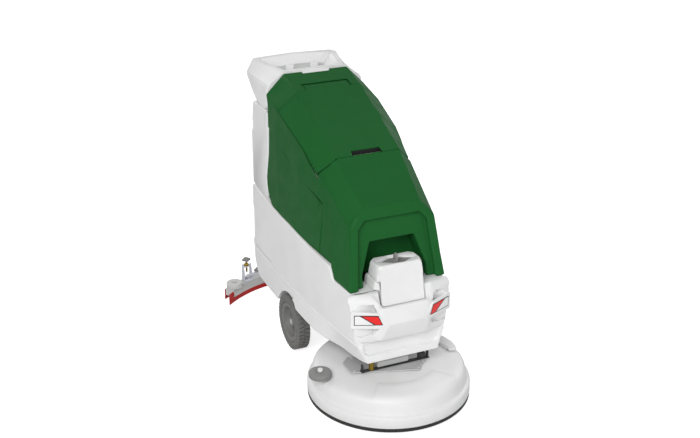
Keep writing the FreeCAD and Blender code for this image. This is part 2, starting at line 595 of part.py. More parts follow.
def recovery_tank():
    """The white rear column and, under the hood, the tub that takes the dirty water."""
    item = body("recovery_tank")
    rear = "hood_rear_y"
    outer = sketch(item, "YZ_Plane", [
        (f"{rear} - 27", "parting_z + parting_step + 22.5"), (790, "parting_z + parting_step + 46"),
        (837, "parting_z + parting_step + 29"), (868, "parting_z + parting_step + 34"), (860, 584),
        (832, 694),
        (786, 755), (791, 784), (775, "console_top - 135"), (f"{rear} + 5", "console_top - 135"),
        (f"{rear} - 10", 850), (f"{rear} - 11", 801), (f"{rear} - 3.5", 700), (f"{rear} + 22.5", 600),
        (f"{rear} + 20.5", 566), (f"{rear} + 8.5", 531),
    ])
    pad(item, outer, "2 * (half_width - 14)", symmetric=True)
    corner = sketch(item, "XY_Plane", [
        ("half_width + 20", 800), ("half_width - 14", 800), ("half_width - 50", 850),
        ("half_width - 90", 880),
        ("half_width + 20", 880),
    ])
    pocket(item, corner)
    corner = sketch(item, "XY_Plane", [
        ("-half_width - 20", 800), ("14 - half_width", 800), ("50 - half_width", 850),
        ("90 - half_width", 880),
        ("-half_width - 20", 880),
    ])
    pocket(item, corner)
    # The tub keeps 12 mm inside the hood all round, and its mouth lies under the lid.
    floor = "parting_z + 68"
    for gap, base, opened in ((12, floor, False), (17, f"{floor} + wall", True)):
        front = (f"brow_y + {100 + gap - 12}", [
            (0, base), (f"half_width - 27 - {gap}", base), (f"half_width - 48 - {gap}", f"brow_z - {gap}"),
            (f"half_width - 98 - {gap}", f"brow_z + 48 - {gap}"), (0, f"brow_z + 48 - {gap}"),
        ])
        behind = hood_sections(gap, first=2, foot=base)[:-1]
        loft(item, "XZ_Plane", across([front] + behind), cut=opened)
    pocket(item, sketch(item, "XY_Plane", [
        (-120, "lid_front_y + 16"), (120, "lid_front_y + 16"), (140, "lid_rear_y - 16"),
        (-140, "lid_rear_y - 16"),
    ], offset="brow_z + 20"), 400, reverse=True)
    column = sketch(item, "YZ_Plane", [
        (f"{rear} + 34", 560), (820, 556), (815, 684), (768, 745), (760, "console_top - 145"),
        (f"{rear} + 34", "console_top - 145"),
    ])
    pocket(item, column, "2 * (half_width - 70)", symmetric=True)
    for side in (-1, 1):
        x = 100 * side
        pocket(item, sketch(item, "YZ_Plane", [
            ("tank_hinge_y - 20", "tank_hinge_z - 12"), ("tank_hinge_y - 20", "tank_hinge_z + 40"),
            ("tank_hinge_y + 40", "tank_hinge_z + 40"), ("tank_hinge_y + 40", "tank_hinge_z - 12"),
        ], offset=f"{x} - 33"), 66, reverse=True)


def tank_hinges():
    """Two barrel hinges at the very rear: the lower leaf and its pin on the body, the upper on the tank."""
    lower = []
    upper = []
    bores = []
    for side in (-1, 1):
        place = dict(y="tank_hinge_y", z="tank_hinge_z", axis="x")
        for start, length in ((-28, 14), (14, 14)):
            lower.append(cylinder("pin_radius + 3", length, x=100 * side + start, **place))
            lower.append(block(length, 14, 12, x=100 * side + start, y="tank_hinge_y - 7",
                               z="tank_hinge_z - 12"))
        lower.append(cylinder("pin_radius", 56, x=100 * side - 28, **place))
        upper.append(cylinder("pin_radius + 3", 26, x=100 * side - 13, **place))
        upper.append(block(26, 6, 40, x=100 * side - 13, y="tank_hinge_y - 7", z="tank_hinge_z"))
        bores.append(cylinder("pin_radius + pin_fit", 60, x=100 * side - 30, **place))
    fuse("tank_hinge_lower", lower)
    cut("tank_hinge_upper", fuse("tank_hinge_leaves", upper), bores)


def console():
    """The white control console: a flared tray whose rear lip is the handle."""
    item = body("console")
    w = "half_width"
    loft(item, "XY_Plane", level([
        ("console_top - 134", [(0, "hood_rear_y + 6"), (f"{w} - 18", "hood_rear_y + 6"), (f"{w} - 18", 720),
                               (f"{w} - 40", 756), (0, 766)]),
        ("console_top - 110", [(0, "hood_rear_y + 6"), (f"{w} - 18", "hood_rear_y + 6"), (f"{w} - 20", 780),
                               (f"{w} - 46", 812), (0, 824)]),
        ("lip_z - 6", [(0, "hood_rear_y + 6"), (f"{w} - 20", "hood_rear_y + 6"), (f"{w} - 22", 856),
                       (f"{w} - 40", 892), (0, 912)]),
        ("lip_z + 6", [(0, "hood_rear_y + 6"), (f"{w} - 27", "hood_rear_y + 6"), (f"{w} - 23", 856),
                       (f"{w} - 42", 890), (0, 911)]),
        ("console_top", [(0, "hood_rear_y + 6"), (f"{w} - 90", "hood_rear_y + 6"), (f"{w} - 37", 836),
                         (f"{w} - 52", 866), (0, 884)]),
    ]))
    loft(item, "XY_Plane", level([
        ("console_top - tray_depth", [(0, "hood_rear_y + 40"), (98, "hood_rear_y + 40"), (106, 806),
                                      (84, 832),
                                      (0, 842)]),
        ("console_top + 1", [(0, "hood_rear_y + 34"), (110, "hood_rear_y + 34"), (146, 824), (132, 850),
                             (0, 864)]),
    ]), cut=True)
    # A finger groove under the rear lip.
    pocket(item, sketch(item, "YZ_Plane", [
        (852, "lip_z - 60"), (852, "lip_z - 12"), (884, "lip_z - 2"), (896, "lip_z - 12"),
        (900, "lip_z - 60"),
    ]), "2 * (half_width - 70)", symmetric=True)
    tab = sketch(item, "XY_Plane", [
        (-56, "hood_rear_y + 8"), (-51, "hood_rear_y - 11"), (51, "hood_rear_y - 11"),
        (56, "hood_rear_y + 8"),
    ], offset="hood_top - 10")
    pad(item, tab, 12)
    for side in (-1, 1):
        pocket(item, disc(item, "XY_Plane", f"{side} * knob_x", 760, 9,
                          offset="console_top - tray_depth - 26"),
               60, reverse=True)
    panel = body("control_panel")
    face = sketch(panel, "XY_Plane", mirrored([
        (0, "hood_rear_y + 43"), (92, "hood_rear_y + 43"), (101, 800), (80, 828), (0, 838),
    ]), [("knob_x", 760, 9.5), ("-knob_x", 760, 9.5)], offset="console_top - tray_depth + 0.3")
    pad(panel, face, 3)
    for side, name in ((-1, "left"), (1, "right")):
        cap = block(30, 12, 20, x=f"{side} * knob_x - 15", y=754,
                    z="console_top - tray_depth + 3.5 + knob_travel")
        stem = cylinder(7, "16 + knob_travel", x=f"{side} * knob_x", y=760,
                        z="console_top - tray_depth - 10")
        fuse(f"panel_button_{name}", [cap, stem])
    cylinder(55, 130, x=0, y=736, z=566, label="vacuum_motor")


# ---------------------------------------------------------------- brush deck

def ring(label, profile, **place):
    """A piece turned about the vertical axis from a profile of (radius, z)."""
    item = body(label, **place)
    revolve(item, sketch(item, "XZ_Plane", profile))
    return item


def deck():
    """The round splash guard with its skirt, the drive motor, and the small parts on its top."""
    dome = ring("deck_cover", [
        (34, "deck_top"), (245, "dome_z"), ("dome_radius - 6", "dome_z - 5"), ("dome_radius", "dome_z - 14"),
        ("dome_radius + 4", "deck_ledge_z"), ("deck_radius - 6", "deck_ledge_z"),
        ("deck_radius", "deck_ledge_z - 5"),
        ("deck_radius", 21), ("deck_radius - deck_wall", 21),
        ("deck_radius - deck_wall", "deck_ledge_z - deck_wall"),
        ("dome_radius - deck_wall", "deck_ledge_z - deck_wall"), ("dome_radius - deck_wall", "dome_z - 16"),
        ("245 - deck_wall", "dome_z - deck_wall"), (34, "deck_top - deck_wall"),
    ])
    inner, outer = 166, 232
    angle = math.radians(37.6)
    start, end = -math.pi / 2 - angle, -math.pi / 2 + angle
    steps = 8
    arc = [start + (end - start) * step / steps for step in range(steps + 1)]
    points = [(round(inner * math.cos(a), 2), round(inner * math.sin(a), 2)) for a in arc]
    points += [(round(outer * math.cos(a), 2), round(outer * math.sin(a), 2)) for a in reversed(arc)]
    pad(dome, sketch(dome, "XY_Plane", points, offset="dome_z - 3"), "deck_top - dome_z + 5")
    ring("deck_skirt", [
        ("deck_radius - deck_wall - 0.3", "skirt_gap"), ("deck_radius - 0.8", "skirt_gap"),
        ("deck_radius - 0.8", 20.7),
        ("deck_radius - deck_wall - 0.3", 20.7), ("deck_radius - deck_wall - 0.3", 40),
        ("deck_radius - deck_wall - 3", 40),
        ("deck_radius - deck_wall - 3", "skirt_gap"),
    ])
    motor = body("brush_motor")
    pad(motor, sketch(motor, "XY_Plane", [(-72, -62), (45, -62), (58, 0), (45, 58), (-72, 58)],
                      [(0, 0, "shaft_radius + shaft_fit")], offset="deck_top + 8.3"), 20)
    pad(motor, sketch(motor, "XY_Plane", [(-28, -14), (-14, -28), (14, -28), (28, -14), (28, 14),
                                          (14, 28), (-14, 28),
                                          (-28, 14)], [(0, 0, "shaft_radius + shaft_fit")], offset=100), 40)
    plate = body("deck_plate", turn=((0, 0, 1), -18.6))
    pad(plate, sketch(plate, "XY_Plane", [(-146, 6), (-163, -30), (-140, -98), (92, -98), (112, -52),
                                          (106, 20), (44, 14),
                                          (44, -44), (-44, -44), (-44, 10)], offset="deck_top + 0.3"), 4)
    lugs = body("deck_lugs")
    pad(lugs, sketch(lugs, "XY_Plane", [(-76, 63), (76, 63), (76, 132),
                                        (-76, 132)], offset="deck_top - 1"), 5)
    pivot = "arm_rear_y - arm_length"
    for x, y, z in ((60, pivot, "arm_rear_z - 12"), (9, f"{pivot} + link_offset", "arm_rear_z - 12")):
        for side in (-1, 1):
            drawing = sketch(lugs, "YZ_Plane", [
                (f"{y} - 7", "deck_top + 2"), (f"{y} + 12", "deck_top + 2"), (f"{y} + 8", f"{z} + 8"),
                (f"{y} - 7", f"{z} + 8"),
            ], offset=f"{side} * {x} - 2.5")
            pad(lugs, drawing, 5)
    pad(lugs, disc(lugs, "YZ_Plane", f"{pivot} + link_offset", "arm_rear_z - 12", "pin_radius"), 32,
        symmetric=True)
    for side in (-1, 1):
        pad(lugs, disc(lugs, "YZ_Plane", pivot, "arm_rear_z - 12", "pin_radius", offset=58 * side), 16,
            reverse=side < 0)
    cylinder(9, 28, x=-95, y=-60, z="deck_top + 6.6", label="release_post")
    hooks = body("deck_brackets")
    for x, y, wide, tall in ((-128, -66, 5, 26), (98, -62, 26, 20), (118, -66, 4, 26)):
        base = sketch(hooks, "XY_Plane", [
            (f"{x} - {wide}/2", y), (f"{x} + {wide}/2", y), (f"{x} + {wide}/2", f"{y} + 14"),
            (f"{x} - {wide}/2", f"{y} + 14"),
        ], offset="deck_top + 4.6")
        pad(hooks, base, tall)
    seat_plate = sketch(hooks, "XY_Plane", [(-134, -68), (124, -68), (124, -50),
                                            (-134, -50)], offset="deck_top + 4.6")
    pad(hooks, seat_plate, 2)
    arm = body("deck_lever")
    loft(arm, "XY_Plane", [
        ("dome_z + 0.6", [(218, -26), (226, -38), (244, -38), (252, -26), (256, 10), (246, 60),
                          (226, 84), (196, 70),
                        (206, 20)]),
        ("dome_z + 11", [(221, -26), (228, -35), (242, -35), (249, -26), (252, 10), (243, 56),
                         (224, 78), (200, 68),
                         (210, 20)]),
    ])
    spindle = body("guide_spindle", x="guide_x", y="guide_y")
    pad(spindle, sketch(spindle, "XY_Plane", [(-11, -7), (-6, -12), (34, -12), (34, 12), (-6, 12), (-11, 7)],
                        offset="dome_z + 0.3"), 3.4)
    pad(spindle, disc(spindle, "XY_Plane", 0, 0, "pin_radius", offset="dome_z + 1"), 27)
    pad(spindle, disc(spindle, "XY_Plane", 0, 0, 9, offset="dome_z + 24.5"), 9)
    ring("guide_wheel", [("pin_radius + pin_fit", "dome_z + 4"), ("guide_radius - 3", "dome_z + 4"),
                         ("guide_radius", "dome_z + 7"), ("guide_radius", "dome_z + 20"),
                         ("guide_radius - 3", "dome_z + 24"), ("pin_radius + pin_fit", "dome_z + 24")],
         x="guide_x", y="guide_y")


def brush():
    """The scrubbing brush under the deck: drive hub, block and bristles."""
    ring("brush_block", [
        (0, "bristle_height"), ("brush_radius - 6", "bristle_height"),
        ("brush_radius - 6", "bristle_height + 10"),
        ("brush_radius - 14", "bristle_height + 15"), (60, "bristle_height + 15"),
        (60, "bristle_height + 27"),
        ("shaft_radius", "bristle_height + 34"), ("shaft_radius", "deck_top + 20"), (0, "deck_top + 20"),
    ])
    ring("brush_bristles", [(105, 0), ("brush_radius", 0), ("brush_radius - 10", "bristle_height - 0.2"),
                            (110, "bristle_height - 0.2")])


def lift_arms():
    """The two parallel links that carry the deck."""
    def bar(label, xs, rear_y):
        item = body(label)
        front_y = f"{rear_y} - arm_length"
        for x, width in xs:
            outline = sketch(item, "YZ_Plane", [
                (f"{front_y} - 9", "arm_rear_z - 20"), (f"{front_y} + 6", "arm_rear_z - 21"),
                (f"{rear_y} + 9", "arm_rear_z - 8"), (f"{rear_y} + 9", "arm_rear_z + 8"),
                (f"{rear_y} - 6", "arm_rear_z + 8"), (f"{front_y} - 9", "arm_rear_z - 4"),
            ], [(rear_y, "arm_rear_z", "pin_radius + pin_fit"),
                (front_y, "arm_rear_z - 12", "pin_radius + pin_fit")],
                offset=f"{x} - {width} / 2")
            pad(item, outline, width)
        return item

    item = bar("lift_arm", ((-68, 6), (68, 6)), "arm_rear_y")
    brace = sketch(item, "YZ_Plane", [
        ("arm_rear_y - arm_length + 17", "arm_rear_z - 14"),
        ("arm_rear_y - arm_length + 28", "arm_rear_z - 13"),
        ("arm_rear_y - arm_length + 28", "arm_rear_z - 8"),
        ("arm_rear_y - arm_length + 17", "arm_rear_z - 9"),
    ])
    pad(item, brace, 138, symmetric=True)
    bar("lift_link", ((0, 12),), "arm_rear_y + link_offset")


# ---------------------------------------------------------------- wheels and casters

def wheels():
    """Two drive-side wheels on a fixed axle: a rubber tyre on a dished hub."""
    for side, name in ((-1, "left"), (1, "right")):
        place = dict(x=f"{side} * wheel_x", y="wheel_y", z="wheel_radius", turn=((0, 1, 0), 90 * side))
        half = "wheel_width / 2"
        ring(f"tyre_{name}", [
            ("rim_radius", f"-{half} + 2"), ("wheel_radius - 12", f"-{half}"),
            ("wheel_radius - 3", f"-{half} + 5"),
            ("wheel_radius", f"-{half} + 12"), ("wheel_radius", f"{half} - 12"),
            ("wheel_radius - 3", f"{half} - 5"),
            ("wheel_radius - 12", half), ("rim_radius", f"{half} - 2"),
        ], **place)
        ring(f"rim_{name}", [
            ("axle_radius + axle_fit", f"-{half} + 4"), ("rim_radius - 0.3", f"-{half} + 4"),
            ("rim_radius - 0.3", f"{half} - 3"), ("rim_radius - 14", f"{half} - 3"),
            ("rim_radius - 18", f"{half} - 22"),
            ("axle_radius + 14", f"{half} - 24"), ("axle_radius + 10", f"{half} - 12"),
            ("axle_radius + axle_fit", f"{half} - 12"),
        ], **place)


def casters():
    """Two swivel casters under the tail."""
    for side, name in ((-1, "left"), (1, "right")):
        place = dict(x=f"{side} * caster_x", y="caster_y")
        fork = body(f"caster_fork_{name}", **place)
        pad(fork, disc(fork, "XY_Plane", 0, 0, "pin_radius + 4", offset="tail_z - 30"), 30)
        pad(fork, disc(fork, "XY_Plane", 0, 0, 24, offset="tail_z - 14"), 7.7)
        cheek = "caster_width / 2 + 2"
        for sign in (-1, 1):
            leaf = sketch(fork, "YZ_Plane", [
                (-20, "tail_z - 14"), (20, "tail_z - 14"), ("caster_trail + 12", "caster_radius + 8"),
                ("caster_trail + 12", "caster_radius - 10"), ("caster_trail - 12", "caster_radius - 10"),
                (-14, "tail_z - 50"),
            ], offset=f"{cheek}" if sign > 0 else f"-({cheek}) - 4")
            pad(fork, leaf, 4)
        top = sketch(fork, "XY_Plane", [
            (f"-({cheek}) - 4", -20), (f"{cheek} + 4", -20), (f"{cheek} + 4", 20), (f"-({cheek}) - 4", 20),
        ], offset="tail_z - 18")
        pad(fork, top, 5)
        axle = disc(fork, "YZ_Plane", "caster_trail", "caster_radius", "pin_radius")
        pad(fork, axle, f"2 * ({cheek}) + 12", symmetric=True)
        ring(f"caster_wheel_{name}", [
            ("pin_radius + pin_fit", "-caster_width / 2"), ("caster_radius - 4", "-caster_width / 2"),
            ("caster_radius", "4 - caster_width / 2"), ("caster_radius", "caster_width / 2 - 4"),
            ("caster_radius - 4", "caster_width / 2"), ("pin_radius + pin_fit", "caster_width / 2"),
        ], x=f"{side} * caster_x", y="caster_y + caster_trail", z="caster_radius", turn=((0, 1, 0), 90))


# ---------------------------------------------------------------- squeegee

def arc_bar(label, inner, outer, low, high, half_angle):
    """A curved bar about the squeegee's centre: two arcs and two ends, padded upwards."""
    item = body(label, y="squeegee_centre")
    drawing = item.newObject("Sketcher::SketchObject", label + "_arc")
    drawing.AttachmentSupport = [(plane(item, "XY_Plane"), "")]
    drawing.MapMode = "FlatFace"
    bind(drawing, "AttachmentOffset.Base.z", low)
    start = math.radians(90 - half_angle)
    end = math.radians(90 + half_angle)
    radii = [number(inner), number(outer)]
    arcs = [drawing.addGeometry(Part.ArcOfCircle(Part.Circle(Vector(), Vector(0, 0, 1), radius), start, end))
            for radius in radii]
    ends = []
    for angle in (start, end):
        points = [Vector(radius * math.cos(angle), radius * math.sin(angle), 0) for radius in radii]
        ends.append(drawing.addGeometry(Part.LineSegment(*points)))
    for arc, text in zip(arcs, (inner, outer)):
        drawing.addConstraint(Sketcher.Constraint("Coincident", arc, 3, -1, 1))
        index = drawing.addConstraint(Sketcher.Constraint("Radius", arc, number(text)))
        drawing.setExpression(f"Constraints[{index}]", bound(text))
    for tip, line in enumerate(ends):
        drawing.addConstraint(Sketcher.Constraint("Coincident", line, 1, arcs[0], tip + 1))
        drawing.addConstraint(Sketcher.Constraint("Coincident", line, 2, arcs[1], tip + 1))
        drawing.addConstraint(Sketcher.Constraint("PointOnObject", -1, 1, line))
        index = drawing.addConstraint(Sketcher.Constraint("Angle", line,
                                                          math.radians(90 - half_angle * (1 - 2 * tip))))
    pad(item, drawing, f"{high} - ({low})")
    return item


def star_knob(label, x, y, z):
    """A four-lobed hand knob on a short screw."""
    lobes = [cylinder(6, 9, x=f"{x} + {dx}", y=f"{y} + {dy}", z=z)
             for dx, dy in ((12, 0), (-12, 0), (0, 12), (0, -12))]
    lobes.append(cylinder(13, 9, x=x, y=y, z=z))
    lobes.append(cylinder(8, 13, x=x, y=y, z=z))
    return fuse(label, lobes)


def squeegee():
    """The trailing squeegee: swinging arm, lifting yoke, curved body, two blades, rollers and knobs."""
    arm = body("squeegee_arm")
    pad(arm, sketch(arm, "XY_Plane", [(-26, "swing_y - 24"), (26, "swing_y - 24"), (20, "lift_y - 14"),
                                      (-20, "lift_y - 14")], offset="tail_z - 16"), 6)
    pad(arm, disc(arm, "XY_Plane", 0, "swing_y", "pin_radius + 4", offset="tail_z - 16"), 16)
    for side in (-1, 1):
        ear = sketch(arm, "YZ_Plane", [
            ("lift_y - 30", "tail_z - 15"), ("lift_y - 30", "tail_z - 10"), ("lift_y + 9", "lift_z + 7"),
            ("lift_y + 9", "lift_z - 8"), ("lift_y - 12", "lift_z - 8"),
        ], offset=f"{side} * 14 - 3")
        pad(arm, ear, 6)
    pad(arm, disc(arm, "YZ_Plane", "lift_y", "lift_z", "pin_radius"), 44, symmetric=True)
    yoke = body("squeegee_yoke")
    bar_y = "squeegee_centre + squeegee_radius - 20"
    low = "squeegee_top + 30"
    pad(yoke, sketch(yoke, "YZ_Plane", [
        ("lift_y - 9", "lift_z - 8"), ("lift_y + 9", "lift_z - 8"), (f"{bar_y} - 10", low),
        (f"{bar_y} + 10", low), (f"{bar_y} + 10", f"{low} + 8"), (f"{bar_y} - 14", f"{low} + 10"),
        ("lift_y + 9", "lift_z + 8"), ("lift_y - 9", "lift_z + 8"),
    ], [("lift_y", "lift_z", "pin_radius + pin_fit")]), 20, symmetric=True)
    pad(yoke, sketch(yoke, "XY_Plane", [
        ("-bracket_x - 16", f"{bar_y} - 34"), (-60, f"{bar_y} - 12"), (60, f"{bar_y} - 12"),
        ("bracket_x + 16", f"{bar_y} - 34"), ("bracket_x + 16", f"{bar_y} - 21"), (60, f"{bar_y} + 14"),
        (-60, f"{bar_y} + 14"), ("-bracket_x - 16", f"{bar_y} - 21"),
    ], offset=low), 6)
    arc_bar("squeegee_body", "squeegee_radius + blade + 0.3", "squeegee_radius + squeegee_depth - 0.3",
            "blade_show", "squeegee_top", 37)
    arc_bar("front_blade", "squeegee_radius", "squeegee_radius + blade", 0, "squeegee_top - 4", 41.7)
    arc_bar("rear_blade", "squeegee_radius + squeegee_depth", "squeegee_radius + squeegee_depth + blade", 0.5,
            "squeegee_top - 6", 37)
    cylinder(22, 34, x=0, y="squeegee_centre + squeegee_radius + 22", z="squeegee_top + 0.3",
             label="suction_spigot")
    screws = []
    for side, name in ((-1, "left"), (1, "right")):
        x = f"{side} * bracket_x"
        # The body's curve has run forward by the time it reaches the brackets.
        y = "squeegee_centre + sqrt((squeegee_radius + 24)^2 - bracket_x^2)"
        bracket = body(f"squeegee_bracket_{name}")
        pad(bracket, sketch(bracket, "XY_Plane", [
            (f"{x} - 18", f"{y} - 22"), (f"{x} + 18", f"{y} - 22"), (f"{x} + 18", f"{y} + 18"),
            (f"{x} - 18", f"{y} + 18"),
        ], [(x, y, 9)], offset="squeegee_top + 0.3"), 6)
        for sign in (-1, 1):
            cheek = sketch(bracket, "YZ_Plane", [
                (f"{y} - 20", "squeegee_top + 4"), (f"{y} + 14", "squeegee_top + 4"),
                (f"{y} + 12", "squeegee_top + 62"), (f"{y} - 4", "squeegee_top + 76"),
                (f"{y} - 16", "squeegee_top + 40"),
            ], offset=f"{x} + {sign} * 16 - 2")
            pad(bracket, cheek, 4)
        pad(bracket, sketch(bracket, "XY_Plane", [
            (f"{x} - 18", f"{y} - 6"), (f"{x} + 18", f"{y} - 6"), (f"{x} + 18", f"{y} + 12"),
            (f"{x} - 18", f"{y} + 12"),
        ], offset="squeegee_top + 58"), 4)
        pocket(bracket, disc(bracket, "XY_Plane", x, f"{y} + 3", "pin_radius + pin_fit",
                             offset="squeegee_top + 30"),
               60, reverse=True)
        screws.append(cylinder("pin_radius", 50, x=x, y=f"{y} + 3", z="squeegee_top + 34"))
        star_knob(f"height_knob_{name}", x, f"{y} + 3", "squeegee_top + 84.3")
        star_knob(f"clamp_knob_{name}", f"{side} * (bracket_x - 44)", f"{bar_y} - 8", "squeegee_top + 36.3")
        ring(f"end_roller_{name}", [
            ("pin_radius + pin_fit", "squeegee_top + 0.3"), ("roller_radius - 3", "squeegee_top + 0.3"),
            ("roller_radius", "squeegee_top + 3"), ("roller_radius", "squeegee_top + 20"),
            ("roller_radius - 3", "squeegee_top + 23"), ("pin_radius + pin_fit", "squeegee_top + 23"),
        ], x=f"{side} * roller_x", y="roller_y")
    fuse("height_screws", screws)
    bolts = []
    for side in (-1, 1):
        x = f"{side} * roller_x"
        bolts.append(cylinder("pin_radius", 34, x=x, y="roller_y", z="squeegee_top - 7"))
        bolts.append(cylinder(9, 5, x=x, y="roller_y", z="squeegee_top + 23.3"))
    fuse("roller_bolts", bolts)


for make in (solution_tank, front_fascia, lamps, chassis, batteries, filler, hood, lid, recovery_tank,
             tank_hinges,
             console, deck, brush, lift_arms, wheels, casters, squeegee):
    make()

document.recompute()
failed = [item.Name for item in document.Objects if "Invalid" in item.State or "Error" in item.State]
failed += [item.Label for item in parts if item.Shape.isNull() or not item.Shape.isValid()]
if failed:
    raise RuntimeError("these failed: " + ", ".join(failed))

os.makedirs("parts", exist_ok=True)
for item in parts:
    item.Shape.exportStep(f"parts/{item.Label}.step")
    print(item.Label, len(item.Shape.Solids), "solid", round(item.Shape.Volume / 1000), "cm3")
print(len(parts), "sub-parts written")
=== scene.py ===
# %% [markdown]
# # A walk-behind floor scrubber, dressed for the showroom
# The engineering model gives every solid of the machine in metres. This lesson puts rounded moulding
# edges, rubber tread, bristles, screws and real finishes on it. Each new piece rides on the same body
# as the solid that it stands for, so the machine still folds, steers and swings.

import json
import math

import bmesh
import bpy
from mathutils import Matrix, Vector


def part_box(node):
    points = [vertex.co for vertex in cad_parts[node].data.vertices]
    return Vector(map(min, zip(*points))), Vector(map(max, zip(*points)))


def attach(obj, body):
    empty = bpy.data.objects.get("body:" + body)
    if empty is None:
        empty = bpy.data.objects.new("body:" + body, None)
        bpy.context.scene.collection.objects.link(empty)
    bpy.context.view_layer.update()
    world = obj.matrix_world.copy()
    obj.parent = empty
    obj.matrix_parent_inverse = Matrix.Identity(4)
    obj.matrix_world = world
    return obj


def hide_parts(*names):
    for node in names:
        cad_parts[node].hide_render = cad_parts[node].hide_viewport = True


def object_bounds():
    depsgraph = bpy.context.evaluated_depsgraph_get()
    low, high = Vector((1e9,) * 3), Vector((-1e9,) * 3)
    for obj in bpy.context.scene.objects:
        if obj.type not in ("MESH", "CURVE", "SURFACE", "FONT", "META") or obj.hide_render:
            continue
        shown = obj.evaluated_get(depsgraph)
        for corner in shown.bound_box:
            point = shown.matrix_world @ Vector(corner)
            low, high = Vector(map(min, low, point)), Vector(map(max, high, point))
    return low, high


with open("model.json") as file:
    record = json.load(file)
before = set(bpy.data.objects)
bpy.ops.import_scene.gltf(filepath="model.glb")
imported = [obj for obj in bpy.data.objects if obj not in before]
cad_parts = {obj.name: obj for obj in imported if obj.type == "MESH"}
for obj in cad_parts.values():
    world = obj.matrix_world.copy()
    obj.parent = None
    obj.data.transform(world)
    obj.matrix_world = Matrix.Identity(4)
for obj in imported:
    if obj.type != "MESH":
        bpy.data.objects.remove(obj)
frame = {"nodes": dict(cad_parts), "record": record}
cad_low, cad_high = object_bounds()
print("machine", [round(v, 3) for v in cad_high - cad_low], "metres")

# %% [markdown]
# ## Camera and daylight
# A three-quarter view from the left front, looking down a little, shows the deck, the lamps and the long
# tank cover together. White plastic needs soft, wide lights: small ones would draw hard glints on it.
# The top light is kept weak, so that faces that look straight up stay a shade darker than the fronts.

# %% Place the camera
machine_middle = Vector((-0.0247, -0.0853, 0.5465))
turn, height = math.radians(-24.29), math.radians(23.07)
towards_camera = Vector(
    (math.sin(turn) * math.cos(height), -math.cos(turn) * math.cos(height), math.sin(height))
)
lens = bpy.data.cameras.new("camera")
lens.lens = 58.49
lens.sensor_width = 36
camera = bpy.data.objects.new("camera", lens)
camera.location = machine_middle + towards_camera * 3.986
camera.rotation_mode = "QUATERNION"
camera.rotation_quaternion = (-towards_camera).to_track_quat("-Z", "Y")
bpy.context.scene.collection.objects.link(camera)
bpy.context.scene.camera = camera
bpy.context.scene.view_settings.view_transform = "Standard"
print("camera at", [round(v, 2) for v in camera.location])


# %% Hang the lights and lay the floor
def softbox(name, place, size, power):
    """A square light that looks at the machine."""
    lamp = bpy.data.lights.new(name, "AREA")
    lamp.size = size
    lamp.energy = power
    light = bpy.data.objects.new(name, lamp)
    light.location = place
    light.rotation_mode = "QUATERNION"
    light.rotation_quaternion = (Vector((0, 0, 0.5)) - Vector(place)).to_track_quat("-Z", "Y")
    bpy.context.scene.collection.objects.link(light)
    return light


softbox("front_left_light", (-2.5, -3.2, 3.0), 2.4, 140)
softbox("front_right_light", (2.4, -3.4, 1.2), 2.4, 20)
softbox("top_light", (0.3, 0.5, 4.2), 3.0, 12)
softbox("back_light", (-0.6, 4.0, 2.2), 2.6, 45)
softbox("back_right_light", (3.4, 1.8, 2.2), 2.6, 45)

sky = bpy.data.worlds.new("sky")
sky.use_nodes = True
sky.node_tree.nodes["Background"].inputs["Color"].default_value = (1, 1, 1, 1)
backdrop = sky.node_tree.nodes.new("ShaderNodeMapRange")
backdrop.inputs["To Min"].default_value = 0.3
backdrop.inputs["To Max"].default_value = 1
eye = sky.node_tree.nodes.new("ShaderNodeLightPath")
sky.node_tree.links.new(eye.outputs["Is Camera Ray"], backdrop.inputs["Value"])
sky.node_tree.links.new(backdrop.outputs["Result"], sky.node_tree.nodes["Background"].inputs["Strength"])
bpy.context.scene.world = sky

floor_mesh = bpy.data.meshes.new("floor")
floor_mesh.from_pydata(
    [(-40, -40, 0), (40, -40, 0), (40, 40, 0), (-40, 40, 0)], [], [(0, 1, 2, 3)]
)
floor = bpy.data.objects.new("floor", floor_mesh)
floor.location = (0, 0, cad_low.z - 0.0005)
bpy.context.scene.collection.objects.link(floor)

# %% [markdown]
# ## Effects shared by the finishes
# Most parts are moulded or painted, and their skins have things in common: a fine grain, slow colour
# drift across a large moulding, and a little dust low down. Each effect is one node group with named
# inputs, so that every material can use it with its own sizes.


# %% Build the effect groups
def new_effect(name, inputs, outputs):
    """An empty node group with its named sockets; gives the tree and its two end nodes."""
    tree = bpy.data.node_groups.new(name, "ShaderNodeTree")
    for label, value in inputs:
        socket = tree.interface.new_socket(label, in_out="INPUT", socket_type="NodeSocketFloat")
        socket.default_value = value
    for label in outputs:
        tree.interface.new_socket(label, in_out="OUTPUT", socket_type="NodeSocketFloat")
    return tree, tree.nodes.new("NodeGroupInput"), tree.nodes.new("NodeGroupOutput")


def chain(tree, kind, links, **settings):
    """A node with its settings made and its inputs joined; links names the input and its source."""
    node = tree.nodes.new(kind)
    for key, value in settings.items():
        setattr(node, key, value)
    for socket, source in links.items():
        if isinstance(source, (int, float)):
            node.inputs[socket].default_value = source
        else:
            tree.links.new(source, node.inputs[socket])
    return node


